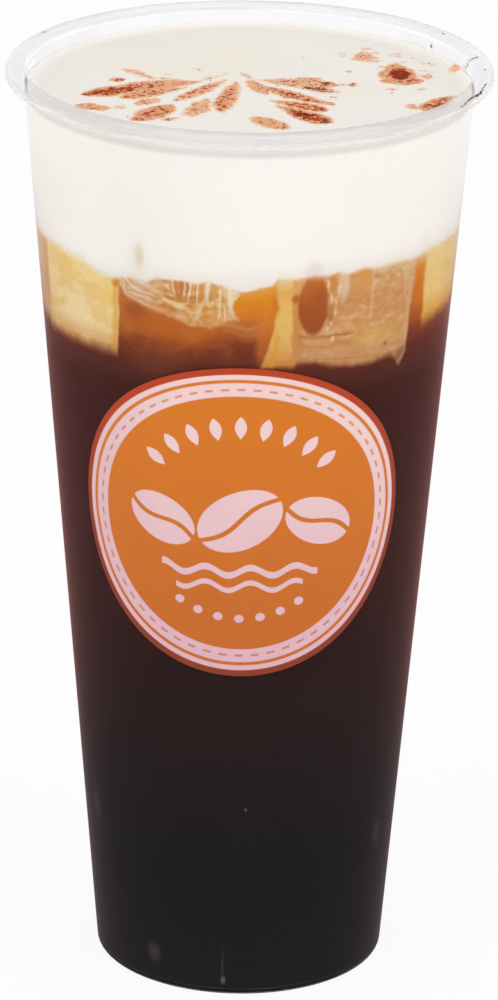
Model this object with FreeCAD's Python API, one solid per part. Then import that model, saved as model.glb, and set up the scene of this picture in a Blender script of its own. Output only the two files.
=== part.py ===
import FreeCAD, Part
import math
import os

# Iced coffee under a layer of sea salt cream, in a clear moulded cup with a round sticker.
# Millimetres. The origin is the middle of the foot ring's underside, +Z runs up the cup
# and the sticker faces -Y.

# Cup
CUP_HEIGHT = 185.4
BASE_DIAMETER = 57.54          # wall line carried down to the resting plane
MOUTH_DIAMETER = 88.22         # wall line carried up to the top of the rim
WALL = 0.95
RIM_DIAMETER = 95.0
RIM_THICKNESS = 1.0
LIP_DEPTH = 1.8
LIP_THICKNESS = 1.1
RIM_EDGE_RADIUS = 0.7
MOUTH_RADIUS = 0.9             # rounding where the inner wall turns into the rim
UNDER_RIM_RADIUS = 0.6
LIP_EDGE_RADIUS = 0.45
FLOOR_THICKNESS = 0.8
FOOT_RECESS = 0.35             # hollow under the floor
FOOT_WIDTH = 2.6               # foot ring, from the wall line inwards
FOOT_CORNER_RADIUS = 1.55
FOOT_INNER_RADIUS = 0.2
FLOOR_CORNER_RADIUS = 0.9
STACK_STEP_HEIGHT = 24.0       # inner ledge that the next cup of a stack rests on
STACK_STEP_WIDTH = 0.5
STACK_STEP_RISE = 0.9
STACK_STEP_RADIUS = 0.4

# Drink
CREAM_BELOW_RIM = 4.3          # flat top of the cream, down from the top of the rim
MENISCUS_RISE = 0.9
MENISCUS_WIDTH = 2.3
MENISCUS_CLING = 0.4
COFFEE_LEVEL = 154.3           # mean height where the coffee meets the cream
COFFEE_TILT = 0.75             # rise of that surface from the middle to the +X wall
RIPPLE_HEIGHT = 0.55
RIPPLE_LENGTH = 25.5
CROSS_RIPPLE_HEIGHT = 0.4
CROSS_RIPPLE_LENGTH = 31.0
SURFACE_STATIONS = 15
SURFACE_MARGIN = 6.0

# Sticker
STICKER_WIDTH = 69.4
STICKER_HEIGHT = 65.8
STICKER_THICKNESS = 0.15
STICKER_CENTRE_HEIGHT = 104.5
STICKER_TURN = -1.1            # degrees about the cup, + towards +X
STICKER_STATIONS = 48


def slope():
    return (MOUTH_DIAMETER - BASE_DIAMETER) / 2 / CUP_HEIGHT


def outer_radius(height):
    return BASE_DIAMETER / 2 + slope() * height


def inner_radius(height):
    return outer_radius(height) - WALL


def floor_height():
    return FOOT_RECESS + FLOOR_THICKNESS


def cream_level():
    return CUP_HEIGHT - CREAM_BELOW_RIM


def section_point(radius, height):
    return FreeCAD.Vector(radius, 0, height)


def corner(radius, height, rounding=0.0):
    return (section_point(radius, height), rounding)


def rounded_corner(before, point, after, rounding):
    """Start, middle and end of the arc that rounds the corner at point."""
    to_before = (before - point).normalize()
    to_after = (after - point).normalize()
    half_angle = to_before.getAngle(to_after) / 2
    setback = rounding / math.tan(half_angle)
    bisector = (to_before + to_after).normalize()
    centre = point + bisector * (rounding / math.sin(half_angle))
    start = point + to_before * setback
    end = point + to_after * setback
    middle = centre - bisector * rounding
    return start, middle, end


def rounded_path(corners):
    """Edges along an open row of corners, with an arc at each one that has a rounding."""
    edges = []
    last = corners[0][0]
    for index in range(1, len(corners) - 1):
        point, rounding = corners[index]
        if rounding <= 0:
            edges.append(Part.LineSegment(last, point).toShape())
            last = point
            continue
        before = corners[index - 1][0]
        after = corners[index + 1][0]
        start, middle, end = rounded_corner(before, point, after, rounding)
        edges.append(Part.LineSegment(last, start).toShape())
        edges.append(Part.Arc(start, middle, end).toShape())
        last = end
    edges.append(Part.LineSegment(last, corners[-1][0]).toShape())
    return edges


def turned(edges):
    """Solid made by turning a closed section about the cup's axis."""
    face = Part.Face(Part.Wire(edges))
    solid = face.revolve(FreeCAD.Vector(0, 0, 0), FreeCAD.Vector(0, 0, 1), 360)
    return solid


def inside_corners():
    """Inner wall from the middle of the floor up to the stacking ledge."""
    floor = floor_height()
    ledge_bottom = STACK_STEP_HEIGHT
    ledge_top = STACK_STEP_HEIGHT + STACK_STEP_RISE
    return [
        corner(0, floor),
        corner(inner_radius(floor) - STACK_STEP_WIDTH, floor, FLOOR_CORNER_RADIUS),
        corner(inner_radius(ledge_bottom) - STACK_STEP_WIDTH, ledge_bottom, STACK_STEP_RADIUS),
        corner(inner_radius(ledge_top), ledge_top, STACK_STEP_RADIUS),
    ]


def make_cup():
    rim_radius = RIM_DIAMETER / 2
    lip_inside = rim_radius - LIP_THICKNESS
    rim_underside = CUP_HEIGHT - RIM_THICKNESS
    lip_bottom = CUP_HEIGHT - LIP_DEPTH
    foot_inside = BASE_DIAMETER / 2 - FOOT_WIDTH
    outside = [
        corner(0, FOOT_RECESS),
        corner(foot_inside, FOOT_RECESS, FOOT_INNER_RADIUS),
        corner(foot_inside, 0, FOOT_INNER_RADIUS / 2),
        corner(outer_radius(0), 0, FOOT_CORNER_RADIUS),
        corner(outer_radius(rim_underside), rim_underside, UNDER_RIM_RADIUS),
        corner(lip_inside, rim_underside, LIP_EDGE_RADIUS / 2),
        corner(lip_inside, lip_bottom, LIP_EDGE_RADIUS),
        corner(rim_radius, lip_bottom, LIP_EDGE_RADIUS),
        corner(rim_radius, CUP_HEIGHT, RIM_EDGE_RADIUS),
        corner(inner_radius(CUP_HEIGHT), CUP_HEIGHT, MOUTH_RADIUS),
    ]
    section = rounded_path(outside + list(reversed(inside_corners())))
    axis_edge = Part.LineSegment(section_point(0, floor_height()), section_point(0, FOOT_RECESS))
    section.append(axis_edge.toShape())
    return turned(section)


def make_filling():
    """All that fills the cup, up to the top of the cream, with the cream clinging to the wall."""
    level = cream_level()
    brim = level + MENISCUS_RISE
    wall_top = section_point(inner_radius(brim), brim)
    section = rounded_path(inside_corners() + [(wall_top, 0.0)])
    cling = section_point(inner_radius(level) - MENISCUS_CLING, level)
    flat_edge = section_point(inner_radius(level) - MENISCUS_WIDTH, level)
    meniscus = Part.BezierCurve()
    meniscus.setPoles([wall_top, cling, flat_edge])
    section.append(meniscus.toShape())
    section.append(Part.LineSegment(flat_edge, section_point(0, level)).toShape())
    axis_edge = Part.LineSegment(section_point(0, level), section_point(0, floor_height()))
    section.append(axis_edge.toShape())
    return turned(section)


def coffee_surface_height(x, y):
    tilt = COFFEE_TILT * x / inner_radius(COFFEE_LEVEL)
    ripple = -RIPPLE_HEIGHT * math.cos(2 * math.pi * x / RIPPLE_LENGTH)
    cross = CROSS_RIPPLE_HEIGHT * math.sin(2 * math.pi * y / CROSS_RIPPLE_LENGTH)
    return COFFEE_LEVEL + tilt + ripple + cross


def make_below_surface():
    """Block under the rippled surface between coffee and cream, wider than the cup."""
    reach = inner_radius(COFFEE_LEVEL) + SURFACE_MARGIN
    stations = [reach * (2 * step / (SURFACE_STATIONS - 1) - 1) for step in range(SURFACE_STATIONS)]
    rows = []
    for x in stations:
        rows.append([FreeCAD.Vector(x, y, coffee_surface_height(x, y)) for y in stations])
    surface = Part.BSplineSurface()
    surface.interpolate(rows)
    return surface.toShape().extrude(FreeCAD.Vector(0, 0, -(COFFEE_LEVEL + SURFACE_MARGIN)))


def make_drink():
    filling = make_filling()
    below = make_below_surface()
    coffee = filling.common(below).Solids[0]
    cream = filling.cut(below).Solids[0]
    return coffee, cream


def sticker_outline_point(turn):
    """Point of the sticker's oval edge, wrapped from the flat onto the cup's cone."""
    cone_apex = -BASE_DIAMETER / 2 / slope()
    stretch = math.sqrt(1 + slope() ** 2)
    cone_sine = slope() / stretch
    across = STICKER_WIDTH / 2 * math.cos(turn)
    along = (STICKER_CENTRE_HEIGHT - cone_apex) * stretch + STICKER_HEIGHT / 2 * math.sin(turn)
    from_apex = math.hypot(across, along)
    bearing = math.atan2(across, along) / cone_sine + math.radians(STICKER_TURN)
    height = cone_apex + from_apex / stretch
    return FreeCAD.Vector(outer_radius(height) * math.sin(bearing), 0, height)


def wall_cone(extra):
    """Solid cone frustum of the cup's outer wall line, thicker by extra."""
    low = outer_radius(0) + extra
    high = outer_radius(CUP_HEIGHT) + extra
    return Part.makeCone(low, high, CUP_HEIGHT)


def make_sticker():
    turns = [2 * math.pi * step / STICKER_STATIONS for step in range(STICKER_STATIONS)]
    edge = Part.BSplineCurve()
    edge.interpolate([sticker_outline_point(turn) for turn in turns], PeriodicFlag=True)
    blank = Part.Face(Part.Wire(edge.toShape())).extrude(FreeCAD.Vector(0, -RIM_DIAMETER, 0))
    shell = wall_cone(STICKER_THICKNESS).cut(wall_cone(0))
    return shell.common(blank).Solids[0]


def main():
    os.makedirs("parts", exist_ok=True)
    coffee, cream = make_drink()
    pieces = {
        "cup": make_cup(),
        "coffee": coffee,
        "cream": cream,
        "label": make_sticker(),
    }
    for name, shape in pieces.items():
        shape.exportStep("parts/" + name + ".step")
        print(name, shape.ShapeType, shape.isValid(), round(shape.Volume, 1), shape.BoundBox)


main()
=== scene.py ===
import functools
import math
import random

import bpy
import numpy as np
from mathutils import Matrix, Vector


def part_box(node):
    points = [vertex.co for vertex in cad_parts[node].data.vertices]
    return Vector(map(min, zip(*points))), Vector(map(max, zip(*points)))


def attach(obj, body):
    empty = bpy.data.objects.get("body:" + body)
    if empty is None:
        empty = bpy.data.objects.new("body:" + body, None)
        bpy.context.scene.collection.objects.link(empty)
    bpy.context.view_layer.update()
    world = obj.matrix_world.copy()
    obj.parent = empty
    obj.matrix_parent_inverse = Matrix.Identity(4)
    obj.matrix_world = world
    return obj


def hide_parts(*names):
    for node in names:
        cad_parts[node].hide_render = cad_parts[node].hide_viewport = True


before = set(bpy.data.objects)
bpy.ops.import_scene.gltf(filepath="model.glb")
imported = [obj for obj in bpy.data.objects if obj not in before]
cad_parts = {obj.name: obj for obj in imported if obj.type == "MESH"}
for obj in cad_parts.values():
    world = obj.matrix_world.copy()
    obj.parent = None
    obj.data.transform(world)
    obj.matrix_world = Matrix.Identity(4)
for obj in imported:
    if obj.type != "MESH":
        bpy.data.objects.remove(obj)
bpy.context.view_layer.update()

bl_info = {
    "name": "Iced Coffee Dresser",
    "version": (1, 0, 0),
    "blender": (4, 5, 0),
    "location": "View3D > Sidebar > Iced coffee",
    "description": "Fills and finishes a clear cup of iced coffee under sea salt cream",
    "category": "Object",
}

# Sizes in millimetres, as the cup is made
MM = 0.001
CUP_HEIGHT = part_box("cup")[1].z / MM
RIM_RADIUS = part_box("cup")[1].x / MM
BASE_RADIUS = 28.77
MOUTH_RADIUS = 44.11
WALL = 0.95
FLOOR_HEIGHT = 1.15
FLOOR_CORNER = 0.9
LEDGE_HEIGHT = 24.0
LEDGE_RISE = 0.9
LEDGE_WIDTH = 0.5
INTO_WALL = 0.3                # how far the drink reaches into the plastic
CREAM_LEVEL = CUP_HEIGHT - 4.3
MENISCUS_RISE = 0.9
MENISCUS_WIDTH = 2.3
MENISCUS_CLING = 0.4
COFFEE_LEVEL = 154.3
COFFEE_TILT = 0.75
RIPPLE_HEIGHT = 0.55
RIPPLE_LENGTH = 25.5
CROSS_RIPPLE_HEIGHT = 0.4
CROSS_RIPPLE_LENGTH = 31.0
STICKER_HALF_WIDTH = 34.7
STICKER_HALF_HEIGHT = 32.9
STICKER_CENTRE = 104.5
STICKER_TURN = -1.1

SLOPE = (MOUTH_RADIUS - BASE_RADIUS) / CUP_HEIGHT
STRETCH = math.sqrt(1 + SLOPE * SLOPE)
CONE_APEX = -BASE_RADIUS / SLOPE


def inner_radius(height):
    return BASE_RADIUS + SLOPE * height - WALL


def coffee_surface(x, y):
    """Height of the rippled surface where the coffee meets the cream."""
    tilt = COFFEE_TILT * x / inner_radius(COFFEE_LEVEL)
    ripple = -RIPPLE_HEIGHT * np.cos(2 * math.pi * x / RIPPLE_LENGTH)
    cross = CROSS_RIPPLE_HEIGHT * np.sin(2 * math.pi * y / CROSS_RIPPLE_LENGTH)
    return COFFEE_LEVEL + tilt + ripple + cross


def straight(value):
    """Linear light from display values of 0 to 1."""
    return np.where(value <= 0.04045, value / 12.92, ((value + 0.055) / 1.055) ** 2.4)


def shade(red, green, blue):
    """Linear colour from the 0 to 255 values of a paint chart."""
    return (*straight(np.array((red, green, blue)) / 255).tolist(), 1.0)


# ---------------------------------------------------------------- settings


def colour_setting(name, description, value):
    return bpy.props.FloatVectorProperty(
        name=name, description=description, default=value, size=4,
        min=0.0, max=1.0, subtype="COLOR")


def share_setting(name, description, value):
    return bpy.props.FloatProperty(
        name=name, description=description, default=value,
        min=0.0, max=1.0, subtype="FACTOR")


def length_setting(name, description, value):
    return bpy.props.FloatProperty(
        name=name, description=description, default=value,
        min=0.0, subtype="DISTANCE", unit="LENGTH")


def level_setting(name, description, value):
    return bpy.props.FloatProperty(
        name=name, description=description, default=value, min=0.0)


class ClearCupSettings(bpy.types.PropertyGroup):
    tint: colour_setting("Tint", "Colour of the clear plastic", (0.985, 0.985, 0.995, 1.0))
    rim_tint: colour_setting("Rim tint", "Colour of the thick rim", (0.99, 0.985, 1.0, 1.0))
    haze: share_setting("Haze", "Roughness of the moulded wall", 0.05)
    rim_haze: share_setting("Rim haze", "Roughness of the worn rim", 0.36)
    top_clear: share_setting("Top clear", "Light straight through the rim's top", 0.54)
    lip_clear: share_setting("Lip clear", "Light straight through the rim's lip", 0.74)
    bend: bpy.props.FloatProperty(
        name="Refraction", description="Index of refraction of the plastic",
        default=1.46, min=1.0, max=2.0)


class CoffeeSettings(bpy.types.PropertyGroup):
    deep: colour_setting("Deep", "Coffee at the foot of the cup", shade(22, 28, 30))
    body: colour_setting("Body", "Coffee in the middle of the cup", shade(40, 25, 26))
    upper: colour_setting("Upper", "Coffee under the ice", shade(66, 31, 27))
    # Painted faint reflections low on the wall, laid into the coffee's colour.
    glint: colour_setting("Glint", "Faint marks low on the wall", shade(150, 122, 124))


class IceSettings(bpy.types.PropertyGroup):
    depth: length_setting("Depth", "How far a cube reaches in from the wall", 0.016)
    corner: share_setting("Corner", "How far its corners have melted away", 0.12)


class CreamSettings(bpy.types.PropertyGroup):
    # The top is darker than the painted cream at the wall: painted shade, as less light falls on
    # it.
    top: colour_setting("Top", "Open surface of the cream", shade(226, 222, 215))
    stain: colour_setting("Stain", "Warm tinge on the cream", shade(226, 219, 200))
    relief: length_setting("Relief", "Height of the soft waves on top", 0.00014)


class CocoaSettings(bpy.types.PropertyGroup):
    powder: colour_setting("Powder", "Moist cocoa powder", shade(216, 158, 118))
    rim: colour_setting("Powder edge", "Thin edge of the powder", shade(233, 205, 176))
    dense: colour_setting("Dense powder", "Denser powder", shade(202, 116, 60))
    dark: colour_setting("Dark powder", "Thick cocoa powder", shade(164, 62, 12))
    core: colour_setting("Core", "Thickest powder", shade(118, 32, 8))
    grain: colour_setting("Grain", "Loose dark grains", shade(136, 42, 16))
    smear: colour_setting("Smear", "Cocoa smeared on the rim", shade(96, 46, 32))
    grains: bpy.props.IntProperty(
        name="Grains", description="Loose grains of cocoa", default=2600, min=0, max=6000)
    grain_size: length_setting("Grain size", "Radius of the largest grain", 0.00022)
    seed: bpy.props.IntProperty(
        name="Seed", description="Start of the random draws", default=11, min=0)


class StickerSettings(bpy.types.PropertyGroup):
    field_top: colour_setting("Field, top", "Orange field, upper part", shade(201, 112, 28))
    field_foot: colour_setting("Field, foot", "Orange field, lower part", shade(186, 98, 36))
    print_top: colour_setting("Print, top", "Pale print, upper part", shade(222, 192, 190))
    print_foot: colour_setting("Print, foot", "Pale print, lower part", shade(206, 166, 176))
    edge_top: colour_setting("Edge, top", "Red edge, upper part", shade(172, 60, 30))
    edge_foot: colour_setting("Edge, foot", "Red edge, lower part", shade(132, 56, 34))


class StageSettings(bpy.types.PropertyGroup):
    backdrop: level_setting("Backdrop", "Brightness of the pale backdrop", 1.0)
    # The reflected floor is painted: dark at the cup's foot as painted shade, reddish round the cup
    # as a painted glow through the coffee's edges.
    foot_shade_reflection: colour_setting("Foot floor", "Reflected floor at the foot", (0.17, 0.12, 0.125, 1))
    near_glow_reflection: colour_setting("Near floor", "Reflected floor round the cup", (0.31, 0.14, 0.13, 1))
    far_floor: colour_setting("Far floor", "Reflected floor far off", (0.9, 0.9, 0.9, 1))
    horizon: level_setting("Horizon", "Light from round about", 1.7)
    zenith: level_setting("Zenith", "Light from straight above", 0.4)
    mirrored: level_setting("Mirrored", "Surroundings in reflections", 0.7)
    key: level_setting("Key light", "Watts of each front lamp", 6.0)
    side: level_setting("Side light", "Watts of each side lamp", 2.0)


class IcedCoffeeSettings(bpy.types.PropertyGroup):
    cup: bpy.props.PointerProperty(type=ClearCupSettings)
    coffee: bpy.props.PointerProperty(type=CoffeeSettings)
    ice: bpy.props.PointerProperty(type=IceSettings)
    cream: bpy.props.PointerProperty(type=CreamSettings)
    cocoa: bpy.props.PointerProperty(type=CocoaSettings)
    sticker: bpy.props.PointerProperty(type=StickerSettings)
    stage: bpy.props.PointerProperty(type=StageSettings)


# ---------------------------------------------------------------- modelling helpers


def deselect_all():
    if bpy.context.object and bpy.context.object.mode != "OBJECT":
        bpy.ops.object.mode_set(mode="OBJECT")
    bpy.ops.object.select_all(action="DESELECT")


def select_only(piece):
    deselect_all()
    piece.select_set(True)
    bpy.context.view_layer.objects.active = piece


def settle(piece, slot_name, *replaced):
    """Places a finished piece on the part's one body and hides the parts it replaces."""
    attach(piece, "root")
    if replaced:
        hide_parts(*replaced)


def smooth(piece, angle):
    select_only(piece)
    bpy.ops.object.shade_smooth_by_angle(angle=angle)


def turned_piece(name, profile, steps):
    """Solid turned about the cup's axis from a row of (radius, height) points."""
    deselect_all()
    bpy.ops.mesh.primitive_plane_add(size=MM)
    piece = bpy.context.object
    piece.name = name
    piece.data.name = name
    bpy.ops.object.mode_set(mode="EDIT")
    bpy.ops.mesh.select_all(action="SELECT")
    bpy.ops.mesh.merge(type="CENTER")
    here = Vector((profile[0][0], 0, profile[0][1])) * MM
    bpy.ops.transform.translate(value=here)
    for radius, height in profile[1:]:
        there = Vector((radius, 0, height)) * MM
        bpy.ops.mesh.extrude_region_move(TRANSFORM_OT_translate={"value": there - here})
        here = there
    bpy.ops.mesh.select_all(action="SELECT")
    bpy.ops.mesh.spin(steps=steps, angle=2 * math.pi, center=(0, 0, 0), axis=(0, 0, 1))
    bpy.ops.mesh.select_all(action="SELECT")
    bpy.ops.mesh.remove_doubles(threshold=0.01 * MM)
    bpy.ops.mesh.normals_make_consistent(inside=False)
    bpy.ops.object.mode_set(mode="OBJECT")
    return piece


def read_points(piece):
    points = np.zeros(len(piece.data.vertices) * 3)
    piece.data.vertices.foreach_get("co", points)
    return points.reshape(-1, 3) / MM


def write_points(piece, points):
    piece.data.vertices.foreach_set("co", (points * MM).reshape(-1))
    piece.data.update()


def arc(centre, radius, first, last, steps):
    """Points of an arc in a turned section, angles in degrees from +radius towards +Z."""
    turns = [math.radians(first + (last - first) * step / steps) for step in range(steps + 1)]
    return [(centre[0] + radius * math.cos(turn), centre[1] + radius * math.sin(turn))
            for turn in turns]


def soft_step(low, high, value):
    share = np.clip((value - low) / (high - low), 0.0, 1.0)
    return share * share * (3 - 2 * share)


FRONT_CROWDING = 0.5           # 0 leaves the columns even, 1 draws them fully to the front


def crowd_front(piece):
    """Draws a turned piece's columns together at the front, where its colours are finest."""
    points = read_points(piece)
    turn = np.arctan2(points[:, 0], -points[:, 1])
    reach = np.hypot(points[:, 0], points[:, 1])
    turn = turn - FRONT_CROWDING * np.sin(turn)
    points[:, 0] = reach * np.sin(turn)
    points[:, 1] = -reach * np.cos(turn)
    write_points(piece, points)


# ---------------------------------------------------------------- wall painting


def lattice(corner, seed):
    """Repeatable value from 0 to 1 for each whole-number corner of space."""
    mixed = corner[0] * 374761393 + corner[1] * 668265263 + corner[2] * 1274126177
    mixed = (mixed + seed * 9176263) & 0xFFFFFFFF
    for shift, factor in ((13, 1103515245), (16, 747796405)):
        mixed = ((mixed ^ (mixed >> shift)) * factor) & 0xFFFFFFFF
    return ((mixed ^ (mixed >> 15)) & 0xFFFF) / 65535.0


def smooth_noise(place, seed):
    base = [np.floor(axis).astype(np.int64) for axis in place]
    part = [axis - np.floor(axis) for axis in place]
    part = [share * share * (3 - 2 * share) for share in part]
    total = 0.0
    for index in range(8):
        step = (index & 1, index >> 1 & 1, index >> 2 & 1)
        weight = 1.0
        for axis in range(3):
            weight = weight * (part[axis] if step[axis] else 1 - part[axis])
        total = total + weight * lattice([base[axis] + step[axis] for axis in range(3)], seed)
    return total


def cloud(place, seed):
    """Soft noise in three layers, from about -0.5 to 0.5."""
    total = 0.0
    for octave, share in ((1, 1.0), (2, 0.55), (4, 0.3)):
        total = total + share * smooth_noise([axis * octave + 50 for axis in place], seed + octave)
    return total / 1.85 - 0.5


def wall_cloud(bearing, height, across, up, seed):
    """Cloud on the wall in spots of so many millimetres across and up."""
    turn = np.radians(bearing)
    reach = inner_radius(148.0) / across
    return cloud((reach * np.sin(turn), reach * np.cos(turn), height / up), seed)


def plan_cloud(x, y, size, seed):
    """Cloud on the level surface of the cream, in spots of one size."""
    return cloud((x / size, y / size, np.zeros_like(x)), seed)


def line(value, points):
    """Broken line through (value, result) points."""
    return np.interp(value, [point[0] for point in points], [point[1] for point in points])


def tones(value, *stops):
    """Colour along a row of (value, (red, green, blue)) stops."""
    places = [stop[0] for stop in stops]
    return np.stack([np.interp(value, places, [stop[1][part] for stop in stops])
                     for part in range(3)], -1)


def oval(bearing, height, centre, half_angle, middle, half_height, soft, corner=2.0):
    """Mask of a soft oval, with straighter sides where corner is above 2."""
    reach = (np.abs((bearing - centre) / half_angle) ** corner
             + np.abs((height - middle) / half_height) ** corner) ** (1 / corner)
    return 1 - soft_step(1 - soft, 1 + soft, reach)


def between(value, low, high, soft):
    """Mask of a band with soft edges."""
    above_low = soft_step(low - soft, low + soft, value)
    return above_low * (1 - soft_step(high - soft, high + soft, value))


def ridge(offset, width):
    """Mask of a soft line, from the distance to its middle."""
    return np.exp(-(offset / width) ** 2)


# Thin coffee round the ice, by height in millimetres
COFFEE_TONES = (
    (130, (70, 34, 29)), (134, (76, 35, 28)), (137, (90, 40, 28)), (139, (108, 49, 30)),
    (141, (134, 64, 31)), (143.2, (165, 84, 34)), (146, (182, 98, 40)), (149, (198, 122, 62)),
    (153, (210, 148, 90)))


class WallPaint:
    """Colours from 0 to 255 where the drink meets the wall, laid one over another.

    turn and up are bearing in degrees and height in millimetres, with a slight waver.
    """

    def __init__(self, bearing, height):
        def noise(across, up, seed):
            return wall_cloud(bearing, height, across, up, seed)

        self.bearing = bearing
        self.height = height
        self.turn = bearing + 1.0 * noise(2.6, 2.6, 3) + 0.5 * noise(0.9, 0.9, 5)
        self.up = height + 0.9 * noise(2.6, 2.6, 7) + 0.4 * noise(0.9, 0.9, 9)
        self.slow = noise(7.0, 4.0, 11)
        self.fine = noise(1.4, 0.9, 13)
        self.flow = wall_cloud(bearing + 6 * noise(6, 4, 15), height + 3 * noise(6, 4, 17),
                               3.2, 1.0, 19)
        self.picture = tones(self.up + 1.6 * self.slow, *COFFEE_TONES)

    def lay(self, cover, tone):
        cover = np.clip(cover, 0, 1)[..., None]
        self.picture = self.picture * (1 - cover) + np.asarray(tone, float) * cover

    def spot(self, share, centre, half_angle, middle, half_height, soft, tone,
             corner=2.0, within=1.0):
        """Soft oval, kept inside another mask."""
        mask = oval(self.turn, self.up, centre, half_angle, middle, half_height, soft, corner)
        self.lay(share * within * mask, tone)

    def box(self, share, left, right, soft, low, high, soft_ends, tone):
        """Upright soft box."""
        mask = between(self.turn, left, right, soft) * between(self.up, low, high, soft_ends)
        self.lay(share * mask, tone)

    def fold(self, share, points, width, left, right, soft, tone, lower=0.0):
        """Soft line through (bearing, height) points, drawn between two bearings."""
        mask = ridge(self.up - line(self.turn, points) + lower, width)
        self.lay(share * between(self.turn, left, right, soft) * mask, tone)


# Lower edge of the cream at the wall: bearing in degrees, height in millimetres
CREAM_EDGE = (
    (-180, 154.6), (-120, 155.4), (-90, 154.6), (-60, 154.4), (-50, 153.9), (-43, 152.6),
    (-38.5, 152.4), (-35, 153.1), (-31, 153.6), (-28, 153.0), (-25, 154.2), (-17, 154.5),
    (-13, 154.0), (-10.3, 154.7), (-5, 153.8), (-1.5, 152.9), (0, 152.9), (4, 153.8),
    (7, 154.3), (8.4, 155.6), (14, 155.2), (18.5, 155.9), (22, 155.4), (25, 155.9),
    (28, 155.4), (32.5, 156.0), (36, 155.5), (44, 155.8), (52, 155.4), (57, 155.9),
    (78, 155.6), (110, 155.0), (145, 155.8), (180, 154.6))
# How far that edge is smeared
CREAM_EDGE_SOFT = (
    (-90, 1.0), (-45, 0.9), (-36, 0.6), (-24, 0.35), (6, 0.3), (12, 0.4), (40, 0.6), (90, 1.0))
# Stains in the cream: bearing, half width, height, half height, tone, share
CREAM_STAINS = (
    (-29.8, 1.1, 158.2, 2.0, (216, 186, 142), 0.75),
    (-30.0, 2.8, 157.4, 3.8, (232, 220, 204), 0.45),
    (18.3, 2.0, 156.9, 1.5, (222, 212, 204), 0.6),
    (1.5, 6.0, 155.4, 2.4, (232, 228, 226), 0.35),
    (55.5, 2.4, 157.6, 2.4, (232, 226, 220), 0.35),
)
# Lower edge of the bowl of cream swirls
BOWL_EDGE = (
    (-37, 151.6), (-34, 149.2), (-31, 148.5), (-25, 147.4), (-22, 146.9), (-19, 146.2),
    (-16, 145.3), (-13, 145.4), (-10, 145.1), (-7, 145.8), (-4, 146.8), (-2, 146.9), (1, 148.0))
# Coffee rising between drips of cream: bearing, half width, lowest, highest, tone, share
FINGERS = (
    (-23.4, 1.0, 151.6, 154.2, (216, 168, 130), 0.6),
    (-20.6, 0.45, 152.0, 154.9, (196, 126, 66), 0.7),
    (-19.2, 0.75, 151.4, 154.6, (178, 108, 52), 0.8),
    (-17.6, 0.85, 151.4, 155.2, (184, 106, 44), 0.9),
    (-16.0, 0.5, 151.8, 155.0, (184, 108, 52), 0.85),
    (-14.7, 0.35, 151.0, 154.0, (190, 118, 60), 0.7),
    (-13.7, 0.35, 150.2, 153.4, (186, 110, 52), 0.7),
    (-12.1, 0.85, 150.6, 154.8, (204, 142, 68), 0.9),
    (-11.2, 0.9, 145.8, 149.4, (208, 134, 58), 0.6),
    (-9.6, 0.5, 145.0, 147.8, (206, 140, 78), 0.6),
    (-8.7, 0.85, 151.6, 154.9, (205, 152, 88), 0.9),
    (-8.4, 0.6, 146.4, 150.2, (210, 136, 62), 0.6),
    (-6.3, 0.4, 147.5, 152.5, (205, 138, 66), 0.7),
    (-5.3, 0.55, 151.0, 154.0, (222, 182, 124), 0.7),
)
# Drips of cream: bearing, half width, lowest, highest, lean, tone, share
DRIPS = (
    (-19.9, 0.3, 151.0, 155.0, -0.2, (240, 222, 188), 0.6),
    (-16.8, 0.3, 151.0, 154.0, 0.1, (240, 214, 172), 0.6),
    (-15.2, 0.3, 150.5, 155.0, 0.25, (244, 226, 190), 0.7),
    (-13.2, 0.3, 149.4, 154.4, 0.1, (242, 222, 182), 0.65),
    (-12.4, 0.6, 146.0, 151.6, 0.66, (234, 204, 152), 0.75),
    (-10.35, 0.55, 150.5, 156.0, 0.1, (238, 228, 206), 0.85),
    (-7.2, 0.35, 147.8, 153.8, 0.05, (238, 212, 164), 0.7),
    (-5.9, 0.35, 146.9, 150.5, -0.1, (238, 214, 166), 0.7),
    (-4.3, 0.8, 148.0, 156.0, 0.0, (238, 222, 186), 0.9),
    (-3.1, 0.6, 147.4, 149.4, 0.0, (234, 212, 172), 0.8),
)
# Drops of cream beside the dark melt: bearing, half width, height, half height
CREAM_DROPS = (
    (23.5, 0.45, 150.6, 0.75), (24.9, 0.3, 150.2, 0.9), (25.5, 0.45, 152.6, 1.4),
    (24.6, 0.35, 147.6, 0.8), (23.6, 0.45, 145.4, 0.5), (22.3, 0.4, 153.4, 1.0),
    (24.2, 0.6, 142.2, 0.45), (22.6, 0.6, 144.6, 0.4),
)
# Folds at the left of the wide cube: heights at its left and further right, tone, share
WIDE_CUBE_FOLDS = (
    (143.3, 142.7, (160, 94, 52), 0.85), (144.4, 144.3, (218, 164, 128), 0.45),
    (141.3, 140.9, (176, 122, 78), 0.5), (140.2, 139.5, (214, 166, 120), 0.5),
)
# Plain-faced cubes: left and right bearing, foot, its tilt, tones at top, middle, foot, seam
PLAIN_CUBES = (
    (-71.2, -37.2, 137.6, 0.02, (242, 212, 142), (241, 216, 162), (218, 164, 104), (222, 160, 64)),
    (57.0, 88.5, 141.8, 0.0, (236, 206, 148), (238, 200, 126), (224, 162, 66), (216, 160, 98)),
    (97.5, 127.0, 140.2, 0.03, (232, 206, 146), (226, 194, 138), (214, 164, 100), (222, 164, 76)),
    (133.5, 160.5, 142.0, -0.03, (226, 186, 134), (207, 156, 104), (204, 152, 104),
     (214, 168, 126)),
    (-180.5, -157.0, 138.2, 0.04, (232, 204, 142), (231, 204, 150), (210, 162, 106),
     (222, 160, 70)),
    (-152.0, -126.0, 140.6, 0.03, (228, 192, 140), (208, 158, 106), (204, 150, 100),
     (216, 166, 120)),
    (-119.0, -90.0, 142.2, -0.02, (231, 206, 154), (229, 200, 142), (220, 166, 88),
     (220, 158, 66)),
)
# Veined cubes, painted one by one: left and right bearing, foot, its tilt
VEINED_CUBES = ((6.6, 13.6, 138.2, 0.0), (14.4, 51.3, 137.4, -0.06))


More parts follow.
